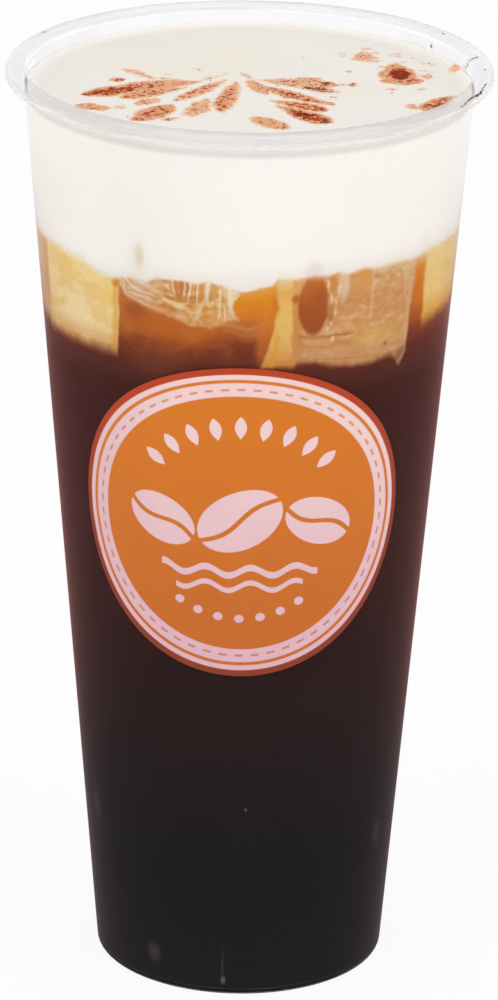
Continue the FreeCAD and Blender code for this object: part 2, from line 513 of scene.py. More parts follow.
def paint_melt(wall):
    """Thin coffee round the ice, and the bowl of cream swirls hanging into it."""
    turn, up, slow, fine, flow = wall.turn, wall.up, wall.slow, wall.fine, wall.flow
    wall.box(0.6, -37.0, -33.0, 1.0, 141.5, 151.5, 1.5, (180, 102, 40))
    wall.spot(0.6, -31.5, 3.4, 146.8, 1.6, 0.6, (146, 72, 34))
    wall.spot(0.7, -4.0, 7.5, 141.0, 3.4, 0.5, (104, 46, 29))
    muddy = soft_step(-0.3, 0.3, slow + 0.6 * flow)
    wall.spot(0.4, -26.0, 8.0, 137.6, 3.2, 0.7, (128, 72, 42), within=muddy)
    wall.spot(0.75, -18.0, 13.0, 144.2, 2.6, 0.7, (190, 98, 32))
    cloudy = soft_step(-0.1, 0.25, flow + 0.5 * slow) * between(up, 139, 147, 2.0)
    wall.lay(0.3 * cloudy, (186, 110, 54))

    over = up - line(turn, BOWL_EDGE)
    in_bowl = between(turn, -36.6, -1.8, 0.5) * soft_step(-0.5, 0.6, over)
    ring = 0.5 + 0.5 * np.cos(2 * math.pi * (over + 2.6 * flow + 2.4 * slow) / 1.75)
    arcs = tones(ring + 0.5 * fine,
                 (0, (212, 160, 114)), (0.5, (222, 184, 146)), (1, (234, 210, 184)))
    left_share = 1 - soft_step(-28.0, -22.0, turn)
    wall.lay(0.9 * in_bowl * left_share, arcs)
    curls = tones(1.4 * flow + fine, (-0.3, (194, 126, 64)), (-0.05, (212, 160, 100)),
                  (0.12, (228, 194, 142)), (0.38, (240, 218, 176)))
    wall.lay(0.95 * in_bowl * (1 - left_share), curls)
    wall.lay(0.4 * in_bowl * (1 - soft_step(146.5, 150.5, up)), (194, 118, 58))
    for centre, half, low, high, tone, share in FINGERS:
        wall.spot(share, centre, half, (low + high) / 2, (high - low) / 2 + 0.3, 0.4, tone, 2.6)
    for centre, half, low, high, lean, tone, share in DRIPS:
        middle = (low + high) / 2
        leaning = turn - lean * (up - middle)
        wall.lay(share * oval(leaning, up, centre, half, middle, (high - low) / 2, 0.6, 3), tone)


def paint_orange(wall):
    """Round-ended orange melt left of the narrow cube, over a veil with pale arcs."""
    turn, up, slow = wall.turn, wall.up, wall.slow
    veil = ((-8, 146.4), (-4, 146.0), (0, 145.2), (4, 145.6), (7, 147.2))
    wall.fold(0.6, veil, 0.55, -7, 6.4, 1.0, (206, 140, 88))
    wall.fold(0.45, veil, 0.45, -6, 5.4, 1.0, (196, 122, 72), lower=1.3)
    roof = line(turn, ((-3.6, 149.0), (-3.2, 150.6), (-2.4, 151.6), (-1, 152.5), (2, 153.2),
                       (5, 153.8), (7.4, 154.5)))
    melt = (soft_step(-3.35, -2.75, turn + 0.35 * ridge(up - 149.6, 1.5))
            * (1 - soft_step(7.5, 8.3, turn)) * (1 - soft_step(-0.22, 0.28, up - roof))
            * soft_step(-1.2, 1.2, up - 147.2 + 0.12 * (turn - 2)))
    wall.lay(melt, tones(up + 4 * slow,
                         (145, (198, 106, 38)), (149, (214, 124, 36)), (153, (220, 138, 32))))
    warm = tones(up, (138, (168, 88, 44)), (142, (180, 96, 42)), (147, (212, 124, 42)))
    wall.box(0.85, 3.0, 7.4, 1.2, 138, 147, 2.0, warm)
    wall.spot(0.8, 7.7, 0.9, 149.6, 2.4, 0.6, (206, 116, 34))


def paint_narrow_cube(wall):
    """Pale strip where the corner of a turned cube meets the wall."""
    turn, up = wall.turn, wall.up
    left = line(up, ((137, 3.6), (138.5, 4.8), (141, 6.2), (144, 7.3), (147.6, 7.8), (149.4, 8.9),
                     (151, 8.6), (153, 8.2)))
    right = line(up, ((137, 13.6), (142, 13.8), (147, 13.2), (150, 12.6), (156, 12.6)))
    strip = (soft_step(-0.4, 0.4, turn - left) * (1 - soft_step(-0.5, 0.5, turn - right))
             * soft_step(136.3, 138.0, up))
    wall.lay(strip, tones(up + 2 * wall.slow, (138, (214, 140, 68)), (141, (221, 170, 98)),
                          (144, (225, 180, 98)), (147, (229, 187, 102)), (151, (230, 181, 98)),
                          (153, (222, 170, 88)), (155.5, (230, 206, 152))))
    vein = line(up, ((138, 7.2), (141, 8.2), (145, 8.8)))
    wall.lay(0.8 * strip * ridge(turn - vein, 0.8) * (1 - soft_step(143, 146, up)), (222, 152, 52))
    wall.lay(0.6 * ridge(turn - left - 0.3, 0.4) * strip * soft_step(143, 147, up), (226, 160, 70))
    tan = between(turn, 12.6, 15.4, 0.5) * soft_step(137.0, 138.8, up)
    wall.lay(tan, tones(up, (140, (200, 138, 78)), (148, (206, 140, 66)), (153, (217, 160, 98))))


def paint_wide_cube(wall):
    """Veined cube with a dark melt at its left and a bright lower corner, edged at its lower right
    by a painted highlight.
    """
    turn, up, slow, fine = wall.turn, wall.up, wall.slow, wall.fine
    foot = line(turn, ((12, 138.4), (19, 137.9), (24, 136.7), (30, 136.1), (38, 135.8), (41, 136.2),
                       (44, 136.5), (46, 135.6), (48.3, 134.0), (50.6, 136.0)))
    right = line(up, ((133, 49.5), (136, 50.8), (142, 51.0), (148, 51.7), (156, 52.0)))
    cube = (soft_step(14.6, 15.8, turn) * (1 - soft_step(-0.45, 0.45, turn - right))
            * soft_step(-0.9, 0.9, up - foot))
    wall.lay(cube, tones(0.9 * wall.flow + 0.8 * slow + 0.6 * fine, (-0.35, (192, 129, 76)),
                         (-0.1, (199, 141, 86)), (0.1, (205, 150, 94)), (0.35, (217, 172, 124))))
    wall.spot(0.5, 38.0, 9.0, 141.0, 2.0, 0.7, (214, 172, 98), within=cube)
    wall.spot(0.45, 41.0, 5.0, 148.4, 2.4, 0.8, (206, 136, 96), within=cube)
    wall.lay(0.35 * cube * between(up, 137.5, 139.6, 0.6), (206, 154, 118))
    wall.lay(0.4 * cube * soft_step(-0.1, 0.25, fine) * soft_step(150.5, 154.5, up),
             (232, 208, 178))
    wall.lay(0.7 * cube * ridge(turn - right + 1.2, 0.8), (216, 172, 132))
    wall.lay(0.55 * cube * ridge(turn - 36.0, 0.5) * soft_step(143, 147, up), (222, 184, 142))
    corner = soft_step(41, 49, turn) * (1 - soft_step(134.8, 138.2, up + 0.25 * (46 - turn)))
    wall.lay(0.75 * cube * corner, (122, 72, 54))
    # Painted highlight: a thin light line along the cube's lower right corner.
    wall.fold(0.8, ((46.5, 133.4), (50.8, 136.4)), 0.28, 47.4, 50.8, 0.5, (206, 158, 124))
    wall.spot(0.7, 42.0, 0.9, 139.3, 0.55, 0.6, (148, 100, 56))
    for left_height, height, tone, share in WIDE_CUBE_FOLDS:
        wall.fold(share, ((14, left_height), (24, height), (34, height + 0.6)), 0.32,
                  14.8, 30, 2.0, tone)
    wall.spot(0.55, 18.6, 5.3, 149.5, 6.6, 0.16, (222, 176, 134), 2.2, cube)
    melt = tones(up + 3 * slow, (143.5, (146, 70, 38)), (149, (160, 82, 36)), (155, (188, 106, 46)))
    wall.spot(1.0, 18.4, 4.1, 149.6, 6.0, 0.13, melt, 2.3)
    wall.spot(0.9, 23.7, 1.1, 153.6, 1.9, 0.35, (206, 132, 68))
    wall.spot(0.8, 13.4, 1.1, 151.2, 0.9, 0.5, (168, 90, 42))
    wall.spot(0.7, 23.2, 0.9, 147.5, 2.6, 0.6, (170, 98, 52))
    for place in CREAM_DROPS:
        wall.spot(0.75, *place, 0.6, (240, 210, 166))
    wall.spot(0.7, 27.0, 1.5, 153.4, 3.4, 0.6, (232, 206, 176))
    second = tones(up, (150, (204, 144, 90)), (154, (212, 150, 80)))
    wall.spot(0.85, 32.5, 3.2, 153.2, 3.0, 0.3, second, 2.2)
    wall.lay(0.6 * between(turn, 35.5, 58.0, 1.5) * soft_step(153.4, 155.6, up), (232, 210, 178))
    seam = tones(up, (142, (154, 76, 34)), (146, (200, 108, 30)), (152, (210, 118, 30)),
                 (155, (222, 156, 84)))
    wall.box(1.0, 52.2, 56.9, 0.45, 142.5, 154.6, 1.4, seam)


def paint_plain_cubes(wall):
    turn, up, slow, flow = wall.turn, wall.up, wall.slow, wall.flow
    for left, right, low, tilt, top, face, foot, seam in PLAIN_CUBES:
        lean = 0.10 * (up - 146) if left < 0 else -0.025 * (up - 146)
        over = up - low - tilt * (turn - (left + right) / 2)
        cube = (soft_step(-1.0, 1.0, turn - left - lean)
                * (1 - soft_step(-0.55, 0.45, turn - right - lean)) * soft_step(-2.4, 1.0, over))
        wall.lay(cube, tones(over + 3 * slow, (0, foot), (4, face), (9, face), (15, top)))
        wall.lay(0.3 * cube * soft_step(0.02, 0.25, flow), top)
        wall.lay(0.3 * cube * soft_step(0.0, 0.22, slow - 0.3 * flow), seam)
        wall.lay(0.75 * cube * ridge(turn - right - lean + 1.1, 1.0), seam)
    wall.lay(0.9 * between(turn, -90, -70.5, 1.0) * soft_step(135.0, 139.4, up), (224, 180, 124))
    wall.spot(0.6, -73.0, 2.2, 148.5, 8.0, 0.6, (204, 150, 100))
    wall.fold(0.55, ((-76, 140.2), (-68, 141.6), (-60, 143.8)), 1.0, -70, -59, 3, (228, 180, 96))
    wall.spot(0.7, -64.0, 5.0, 152.4, 2.2, 0.7, (233, 199, 122))
    wall.spot(0.9, -37.6, 1.3, 151.8, 0.9, 0.6, (208, 128, 46))
    wall.spot(0.55, -40.5, 1.6, 149.5, 3.2, 0.7, (234, 206, 104))


def paint_cream(wall):
    """Cream coming down the wall, with a few faint stains in it."""
    bearing, height = wall.bearing, wall.height
    above = height - line(wall.turn, CREAM_EDGE) + 0.7 * wall_cloud(bearing, height, 3.0, 2.0, 31)
    cover = soft_step(-1, 0.8, above / line(bearing, CREAM_EDGE_SOFT))
    wall.lay(cover, tones(above, (0, (238, 230, 218)), (1.5, (245, 241, 232)),
                          (4, (249, 245, 237))))
    yellow = oval(bearing, height, -60, 30, 170, 9, 0.8) * (0.6 + 1.2 * wall.slow)
    wall.lay(0.5 * yellow * cover, (247, 239, 220))
    for *place, tone, share in CREAM_STAINS:
        wall.lay(share * oval(wall.turn, height, *place, 0.9), tone)


PAINT_FOOT = 129.0             # height where the painted band begins
PAINT_FULL = 134.0
PLASTIC_LOSS = 0.28            # share of dark light that the plastic in front takes away


def paint_piece(piece):
    """Stores the wall's colours on a piece, fading out below the ice.

    They are lightened by what the plastic before them takes away, most where they are dark.
    """
    points = read_points(piece)
    wall = WallPaint(np.degrees(np.arctan2(points[:, 0], -points[:, 1])), points[:, 2])
    for paint in (paint_melt, paint_orange, paint_narrow_cube, paint_wide_cube,
                  paint_plain_cubes, paint_cream):
        paint(wall)
    light = straight(wall.picture / 255)
    light = light / (1 - PLASTIC_LOSS + PLASTIC_LOSS * light)
    strength = soft_step(PAINT_FOOT, PAINT_FULL, points[:, 2])
    colours = np.concatenate([light, strength[:, None]], 1).astype(np.float32)
    attribute = piece.data.attributes.new("wall_paint", "FLOAT_COLOR", "POINT")
    attribute.data.foreach_set("color", colours.reshape(-1))


# ---------------------------------------------------------------- material helpers


class Value:
    """Output of a shader node. Reckoning with Values lays the Math nodes for it."""

    def __init__(self, sheet, socket):
        self.sheet = sheet
        self.socket = socket

    def __add__(self, other):
        return self.sheet.math("ADD", self, other)

    def __sub__(self, other):
        return self.sheet.math("SUBTRACT", self, other)

    def __rsub__(self, other):
        return self.sheet.math("SUBTRACT", other, self)

    def __mul__(self, other):
        return self.sheet.math("MULTIPLY", self, other)

    def __truediv__(self, other):
        return self.sheet.math("DIVIDE", self, other)

    def __abs__(self):
        return self.sheet.math("ABSOLUTE", self)


class Sheet:
    """Lays shader nodes on a tree, left to right."""

    def __init__(self, tree):
        self.tree = tree
        self.count = 0

    def add(self, kind, inputs=(), **settings):
        """New node with its settings, and with Values or constants at its inputs."""
        made = self.tree.nodes.new(kind)
        made.location = (180 * (self.count // 6), -160 * (self.count % 6))
        self.count += 1
        for name, value in settings.items():
            setattr(made, name, value)
        self.feed(made, inputs)
        return made

    def feed(self, node, inputs):
        for name, value in dict(inputs).items():
            if isinstance(value, Value):
                self.tree.links.new(value.socket, node.inputs[name])
            else:
                node.inputs[name].default_value = value

    def read(self, kind, output, inputs=(), **settings):
        """Value at one output of a new node."""
        return Value(self, self.add(kind, inputs, **settings).outputs[output])

    def math(self, operation, *values, clamp=False):
        return self.read("ShaderNodeMath", 0, enumerate(values), operation=operation,
                         use_clamp=clamp)

    def hypot(self, first, second):
        return self.math("SQRT", first * first + second * second)

    def larger(self, first, second):
        return self.math("MAXIMUM", first, second)

    def mix(self, share, first, second):
        """Mix of two colours: as colours their sockets are 6 and 7, and the result's is 2."""
        return self.read("ShaderNodeMix", 2, {0: share, 6: first, 7: second}, data_type="RGBA")

    def mix_shader(self, share, first, second):
        return self.read("ShaderNodeMixShader", 0, enumerate((share, first, second)))

    def ease(self, value, low, high, start=0.0, end=1.0):
        return self.read("ShaderNodeMapRange", 0, enumerate((value, low, high, start, end)),
                         interpolation_type="SMOOTHSTEP")

    def fall(self, value, low, high):
        """1 below low, 0 above high."""
        return self.ease(value, low, high, 1.0, 0.0)

    def band(self, value, low, high, soft=0.1):
        """1 between low and high."""
        return self.ease(value, low - soft, low + soft) * self.fall(value, high - soft, high + soft)

    def noise(self, where, scale, detail=3.0, roughness=0.5, distortion=0.0):
        return self.read("ShaderNodeTexNoise", "Fac", {
            "Vector": where, "Scale": scale, "Detail": detail, "Roughness": roughness,
            "Distortion": distortion})

    def ramp(self, value, stops):
        made = self.add("ShaderNodeValToRGB", {0: value})
        marks = made.color_ramp.elements
        marks[0].position, marks[0].color = stops[0]
        marks[1].position, marks[1].color = stops[-1]
        for place, colour in stops[1:-1]:
            marks.new(place).color = colour
        return Value(self, made.outputs[0])

    def attribute(self, name, output):
        return self.read("ShaderNodeAttribute", output, attribute_name=name)

    def here(self):
        """Object coordinates."""
        return self.read("ShaderNodeTexCoord", "Object")

    def bump(self, height, strength, distance):
        return self.read("ShaderNodeBump", 0, {
            "Strength": strength, "Distance": distance, "Height": height})

    def light_path(self, *outputs):
        path = self.add("ShaderNodeLightPath")
        return [Value(self, path.outputs[output]) for output in outputs]

    def group(self, name, build, inputs=(), **settings):
        """Outputs by name of a node group, built on first use."""
        tree = bpy.data.node_groups.get(name) or build(name, **settings)
        made = self.add("ShaderNodeGroup", inputs, node_tree=tree)
        return {socket.name: Value(self, socket) for socket in made.outputs}

    def cup_place(self):
        return self.group("cup place", cup_place_group)


def new_group(name, inputs, outputs):
    """Empty node group: its sheet, its inputs by name and the node that takes its outputs.

    Inputs are given as (name, value), outputs as (name, socket type).
    """
    tree = bpy.data.node_groups.new(name, "ShaderNodeTree")
    for label, value in inputs:
        socket = tree.interface.new_socket(label, in_out="INPUT", socket_type="NodeSocketFloat")
        socket.default_value = value
    for label, kind in outputs:
        tree.interface.new_socket(label, in_out="OUTPUT", socket_type=kind)
    sheet = Sheet(tree)
    start = sheet.add("NodeGroupInput")
    end = tree.nodes.new("NodeGroupOutput")
    end.location = (2600, 0)
    return sheet, {label: Value(sheet, start.outputs[label]) for label, _ in inputs}, end


def new_material(name):
    """Material with a plain Principled shader, its sheet, shader and output."""
    material = bpy.data.materials.new(name)
    material.use_nodes = True
    tree = material.node_tree
    tree.nodes.clear()
    output = tree.nodes.new("ShaderNodeOutputMaterial")
    output.location = (3000, 0)
    shader = tree.nodes.new("ShaderNodeBsdfPrincipled")
    shader.location = (2600, 0)
    tree.links.new(shader.outputs[0], output.inputs["Surface"])
    return material, Sheet(tree), shader, output


def cup_place_group(name):
    """Bearing about the cup in degrees (0 faces the front), height, x and y in millimetres."""
    sheet, _, end = new_group(name, (), (
        ("Bearing", "NodeSocketFloat"), ("Height", "NodeSocketFloat"),
        ("X", "NodeSocketFloat"), ("Y", "NodeSocketFloat"), ("Millimetres", "NodeSocketVector")))
    scaled = sheet.read("ShaderNodeVectorMath", 0, {0: sheet.here(), "Scale": 1 / MM},
                        operation="SCALE")
    split = sheet.add("ShaderNodeSeparateXYZ", {0: scaled})
    x, y, z = (Value(sheet, socket) for socket in split.outputs)
    bearing = sheet.math("ARCTAN2", x, y * -1.0) * (180 / math.pi)
    sheet.feed(end, {"Bearing": bearing, "Height": z, "X": x, "Y": y, "Millimetres": scaled})
    return sheet.tree


def soft_field_group(name):
    """Mask of a soft oval patch."""
    sheet, port, end = new_group(name, (
        ("Across", 0.0), ("Up", 0.0), ("Centre", 0.0), ("Half width", 1.0), ("Middle", 0.0),
        ("Half height", 1.0), ("Softness", 0.2)), (("Mask", "NodeSocketFloat"),))
    wide = (port["Across"] - port["Centre"]) / port["Half width"]
    high = (port["Up"] - port["Middle"]) / port["Half height"]
    reach = sheet.hypot(wide, high)
    soft = port["Softness"]
    sheet.feed(end, {"Mask": sheet.fall(reach, 1.0 - soft, soft + 1.0)})
    return sheet.tree


def soft_field(sheet, across, up, centre, half_width, middle, half_height, softness):
    return sheet.group("soft field", soft_field_group, {
        "Across": across, "Up": up, "Centre": centre, "Half width": half_width,
        "Middle": middle, "Half height": half_height, "Softness": softness})["Mask"]


# Painted faint reflections low on the wall: bearing, half width (degrees), height, half height
# (mm), softness, share
WALL_GLINTS = (
    (-36.0, 2.6, 7.0, 1.8, 0.8, 0.2), (-6.0, 0.9, 3.2, 0.8, 0.6, 0.5),
    (-6.3, 0.5, 6.5, 2.8, 0.9, 0.15), (2.0, 0.4, 42.0, 0.35, 0.6, 0.7),
    (62.0, 2.4, 30.0, 2.6, 0.9, 0.12), (-66.0, 2.4, 35.0, 3.0, 0.9, 0.12))
COFFEE_TOP = 140.0             # where the coffee's own colours end, under the ice


def wall_colour_group(name, coffee):
    """Colour of the drink where it touches the wall, from the foot to the cream."""
    sheet, _, end = new_group(name, (), (("Colour", "NodeSocketColor"),))
    place = sheet.cup_place()
    colour = sheet.ramp(place["Height"] / COFFEE_TOP, (
        (0.0, coffee.deep), (0.22, coffee.deep), (0.52, coffee.body), (0.92, coffee.upper),
        (1.0, coffee.upper)))
    # Painted faint reflections laid over the coffee's colour.
    for *field, share in WALL_GLINTS:
        mark = soft_field(sheet, place["Bearing"], place["Height"], *field)
        colour = sheet.mix(mark * share, colour, coffee.glint)
    colour = sheet.mix(sheet.attribute("wall_paint", "Alpha"), colour,
                       sheet.attribute("wall_paint", "Color"))
    grain = sheet.noise(place["Millimetres"], 1.6, roughness=0.6)
    colour = sheet.mix(sheet.ease(grain, 0.35, 0.65, 0.0, 0.06), colour, shade(90, 50, 34))
    sheet.feed(end, {"Colour": colour})
    return sheet.tree


def wall_colour(sheet, settings):
    return sheet.group("drink at the wall", wall_colour_group, coffee=settings.coffee)["Colour"]


# ---------------------------------------------------------------- materials


RIM_START = CUP_HEIGHT - 4.6   # where the wall turns into the thick rim
RIM_FULL = CUP_HEIGHT - 3.2
LIP_END = CUP_HEIGHT - 1.3     # where the outer lip turns into the rim's top
TOP_START = CUP_HEIGHT - 0.5


def clear_plastic(settings):
    """Clear moulded plastic, worn at the rim, that lets lamplight through to the drink."""
    material, sheet, shader, output = new_material("clear_plastic")
    place = sheet.cup_place()
    rim = sheet.ease(place["Height"], RIM_START, RIM_FULL)
    stretched = sheet.read("ShaderNodeMapping", 0, {
        "Vector": place["Millimetres"], "Scale": (1.0, 1.0, 0.3)})
    flow = sheet.noise(stretched, 0.06, detail=1.0)
    sheet.feed(shader, {
        "Metallic": 0.0, "Transmission Weight": 1.0, "IOR": settings.bend,
        "Base Color": sheet.mix(rim, settings.tint, settings.rim_tint),
        "Roughness": sheet.ease(rim, 0.0, 1.0, settings.haze, settings.rim_haze),
        "Normal": sheet.bump(flow * (1.0 - rim), 0.03, 0.0002)})
    clear = sheet.read("ShaderNodeBsdfTransparent", 0, {"Color": settings.tint})
    shadow = sheet.light_path("Is Shadow Ray")[0]
    straight_share = sheet.ease(place["Height"], LIP_END, TOP_START,
                                settings.lip_clear, settings.top_clear)
    blended = sheet.mix_shader(sheet.larger(shadow, rim * straight_share),
                               Value(sheet, shader.outputs[0]), clear)
    sheet.feed(output, {"Surface": blended})
    return material


def coffee_material(settings):
    material, sheet, shader, _ = new_material("iced_coffee")
    patchy = sheet.noise(sheet.here(), 120.0)
    sheet.feed(shader, {
        "Base Color": wall_colour(sheet, settings),
        "Roughness": sheet.ease(patchy, 0.3, 0.7, 0.35, 0.55), "Specular IOR Level": 0.05})
    return material


def ice_material(settings):
    material, sheet, shader, _ = new_material("milky_ice")
    cloudy = sheet.noise(sheet.here(), 420.0, detail=4.0, roughness=0.6, distortion=0.8)
    sheet.feed(shader, {
        "Base Color": wall_colour(sheet, settings),
        "Roughness": sheet.ease(cloudy, 0.3, 0.7, 0.25, 0.4), "Specular IOR Level": 0.05,
        "Normal": sheet.bump(cloudy, 0.1, 0.0003)})
    return material


def cream_material(settings):
    """Cream, painted where it meets the wall, with moist cocoa powder on its top."""
    material, sheet, shader, _ = new_material("salted_cream")
    cream, cocoa = settings.cream, settings.cocoa
    place = sheet.cup_place()
    where = place["Millimetres"]
    top_share = sheet.ease(place["Height"], CREAM_LEVEL - 1.5, CREAM_LEVEL - 0.3)
    cloudy = sheet.noise(where, 0.07)
    stain = soft_field(sheet, place["X"], place["Y"], -12.0, 15.0, 20.0, 13.0, 0.45)
    # Painted shade: the top is coloured darker than the cream at the wall.
    top = sheet.mix(stain * sheet.ease(cloudy, 0.3, 0.6, 0.35, 0.8), cream.top, cream.stain)
    top = sheet.mix(sheet.ease(cloudy, 0.52, 0.72, 0.0, 0.35), top, cream.stain)
    colour = sheet.mix(top_share, sheet.attribute("wall_paint", "Color"), top)

    grit = sheet.noise(where, 2.2, roughness=0.65) - 0.5
    speck = sheet.noise(where, 0.8, detail=4.0, roughness=0.75) - 0.5
    cover = sheet.attribute("cocoa_cover", "Fac") + grit * 0.9
    powdered = sheet.ease(cover, 0.16, 0.78)
    powder = sheet.mix(sheet.ease(cover, 0.35, 0.95), cocoa.rim, cocoa.powder)
    powder = sheet.mix(sheet.ease(speck, -0.06, 0.16, 0.0, 0.7), powder, cocoa.dense)
    colour = sheet.mix(powdered, colour, powder)
    crumbs = sheet.read("ShaderNodeTexVoronoi", "Distance", {"Scale": 0.9, "Vector": where})
    crumb = sheet.ease(crumbs, 0.2, 0.62, 0.5, 0.0)
    dark = sheet.attribute("cocoa_dark", "Fac") * 0.76 + (speck * 1.7 + crumb)
    thick_tone = sheet.mix(sheet.ease(dark, 0.95, 1.3), cocoa.dark, cocoa.core)
    colour = sheet.mix(sheet.ease(dark, 0.56, 0.76) * powdered, colour, thick_tone)

    bubbles = sheet.noise(where, 3.0, roughness=0.6)
    sheet.feed(shader, {
        "Base Color": colour, "Roughness": sheet.ease(powdered, 0.0, 1.0, 0.42, 0.8),
        "Specular IOR Level": 0.12, "Subsurface Weight": 0.05,
        "Subsurface Radius": (0.9, 0.7, 0.5), "Subsurface Scale": 0.0012,
        "Normal": sheet.bump(bubbles * 0.25 + powdered * grit * 1.2, 0.35, 0.00025)})
    return material


def cocoa_material(name, colour):
    material, sheet, shader, _ = new_material(name)
    tone = sheet.noise(sheet.here(), 700.0, detail=2.0, roughness=0.6)
    darker = tuple(part * 0.6 for part in colour[:3]) + (1.0,)
    sheet.feed(shader, {
        "Base Color": sheet.mix(sheet.ease(tone, 0.4, 0.62), colour, darker),
        "Roughness": sheet.ease(tone, 0.3, 0.7, 0.7, 0.9), "Specular IOR Level": 0.1,
        "Normal": sheet.bump(tone, 0.3, 0.0001)})
    return material


# Rings of the print, by distance from its middle in millimetres
WIDE_RING = (28.5, 31.47)
STITCHES = (29.72, 30.2)
THIN_RING = (32.2, 33.3)
RED_EDGE = (33.2, 33.5)        # where the print gives way to the red edge
MARK_RADIUS = 21.5             # ring of the leaves above and of the dots below
# Coffee beans: centre across and up, half length, half width, turn in degrees
BEANS = ((0.0, 0.6, 9.0, 6.2, 32.0), (-15.6, -0.4, 7.2, 5.0, -28.0), (15.6, -0.4, 7.2, 5.0, 152.0))
# Waves under the beans: height, half length, half thickness
WAVES = ((-10.8, 15.5, 0.75), (-14.2, 12.5, 0.6))


def bean_group(name):
    """Mask of a coffee bean: an oval with its curved split left open."""
    sheet, port, end = new_group(name, (
        ("Across", 0.0), ("Up", 0.0), ("Centre", 0.0), ("Middle", 0.0), ("Half length", 8.0),
        ("Half width", 5.5), ("Turn", 0.0)), (("Mask", "NodeSocketFloat"),))
    across = port["Across"] - port["Centre"]
    up = port["Up"] - port["Middle"]
    cosine = sheet.math("COSINE", port["Turn"])
    sine = sheet.math("SINE", port["Turn"])
    along = across * cosine + up * sine
    aside = up * cosine - across * sine
    long_share = along / port["Half length"]
    reach = sheet.hypot(long_share, aside / port["Half width"])
    curve = sheet.math("SINE", long_share * math.pi) * 0.9
    split = sheet.ease(abs(aside - curve), 0.40, 0.60)
    sheet.feed(end, {"Mask": sheet.fall(reach, 0.98, 1.02) * split})
    return sheet.tree


def repeated(sheet, angle, step_degrees):
    """Angle measured from the nearest of many marks set evenly round a ring."""
    step = math.radians(step_degrees)
    return sheet.math("PINGPONG", angle + step / 2, step) - step / 2


def sticker_rings(sheet, radius, around):
    """Wide stitched ring and thin outer ring of the pale print."""
    stitch = abs(repeated(sheet, around, 6.0))
    stitches = (sheet.fall(stitch, math.radians(1.3), math.radians(1.75))
                * sheet.band(radius, *STITCHES, 0.16))
    return sheet.larger(sheet.band(radius, *WIDE_RING, 0.14) - stitches * 0.8,
                        sheet.band(radius, *THIN_RING, 0.14))


def sticker_motifs(sheet, across, up, radius, around):
    """Three coffee beans over two waves, leaves on an arc above and dots on an arc below."""
    shapes = []
    for centre, middle, half_length, half_width, turn in BEANS:
        shapes.append(sheet.group("coffee bean", bean_group, {
            "Across": across, "Up": up, "Centre": centre, "Middle": middle,
            "Half length": half_length, "Half width": half_width,
            "Turn": math.radians(turn)})["Mask"])
    leaf_across = repeated(sheet, around, 13.0) * MARK_RADIUS / 1.15
    leaf_up = (radius - MARK_RADIUS) / 2.5
    leaf_reach = abs(leaf_across) + leaf_up * leaf_up
    shapes.append(sheet.fall(leaf_reach, 0.92, 1.08)
                  * sheet.fall(abs(around), 0.99, 1.0))
    wave = sheet.math("SINE", across * 0.72) * 0.9
    for middle, half_span, half_thick in WAVES:
        off = abs(up - middle - wave)
        shapes.append(sheet.fall(off, half_thick - 0.1, half_thick + 0.1)
                      * sheet.fall(abs(across), half_span - 0.1, half_span + 0.1))
    below = sheet.math("ARCTAN2", across, up * -1.0)
    dot_reach = sheet.hypot(repeated(sheet, below, 11.0) * MARK_RADIUS, radius - MARK_RADIUS)
    shapes.append(sheet.fall(dot_reach, 0.82, 1.02)
                  * sheet.fall(abs(below), 0.66, 0.68))
    return functools.reduce(sheet.larger, shapes)


def sticker_material(settings):
    """Orange sticker with stitched pale rings, coffee beans, leaves and waves."""
    colours = settings.sticker
    material, sheet, shader, _ = new_material("sticker_print")
    place = sheet.cup_place()
    apex_distance = (place["Height"] - CONE_APEX) * STRETCH
    turn = (place["Bearing"] - STICKER_TURN) * (math.radians(1) * SLOPE / STRETCH)
    across = apex_distance * sheet.math("SINE", turn)
    up = apex_distance * sheet.math("COSINE", turn) - (STICKER_CENTRE - CONE_APEX) * STRETCH
    up = up * (STICKER_HALF_WIDTH / STICKER_HALF_HEIGHT)
    radius = sheet.hypot(across, up)
    around = sheet.math("ARCTAN2", across, up)

    mottle = sheet.noise(place["Millimetres"], 0.12) - 0.5
    level = sheet.ease(up, -34.0, 34.0) + mottle * 0.35
    field = sheet.mix(level, colours.field_foot, colours.field_top)
    pale = sheet.mix(level, colours.print_foot, colours.print_top)
    pale = sheet.mix(sheet.ease(across, -33.0, -12.0, 0.6, 0.0), pale, shade(200, 162, 172))
    edge = sheet.mix(sheet.ease(up, -10.0, 33.0), colours.edge_foot, colours.edge_top)
    printed = sheet.larger(sticker_motifs(sheet, across, up, radius, around),
                           sticker_rings(sheet, radius, around))
    colour = sheet.mix(printed, field, pale)
    fibre = sheet.noise(place["Millimetres"], 1.8, roughness=0.6)
    sheet.feed(shader, {
        "Base Color": sheet.mix(sheet.ease(radius, *RED_EDGE), colour, edge),
        "Roughness": sheet.ease(fibre, 0.3, 0.7, 0.45, 0.6), "Specular IOR Level": 0.2,
        "Normal": sheet.bump(fibre * 0.4 + printed * 0.3, 0.12, 0.0001)})
    return material


# ---------------------------------------------------------------- cocoa pattern

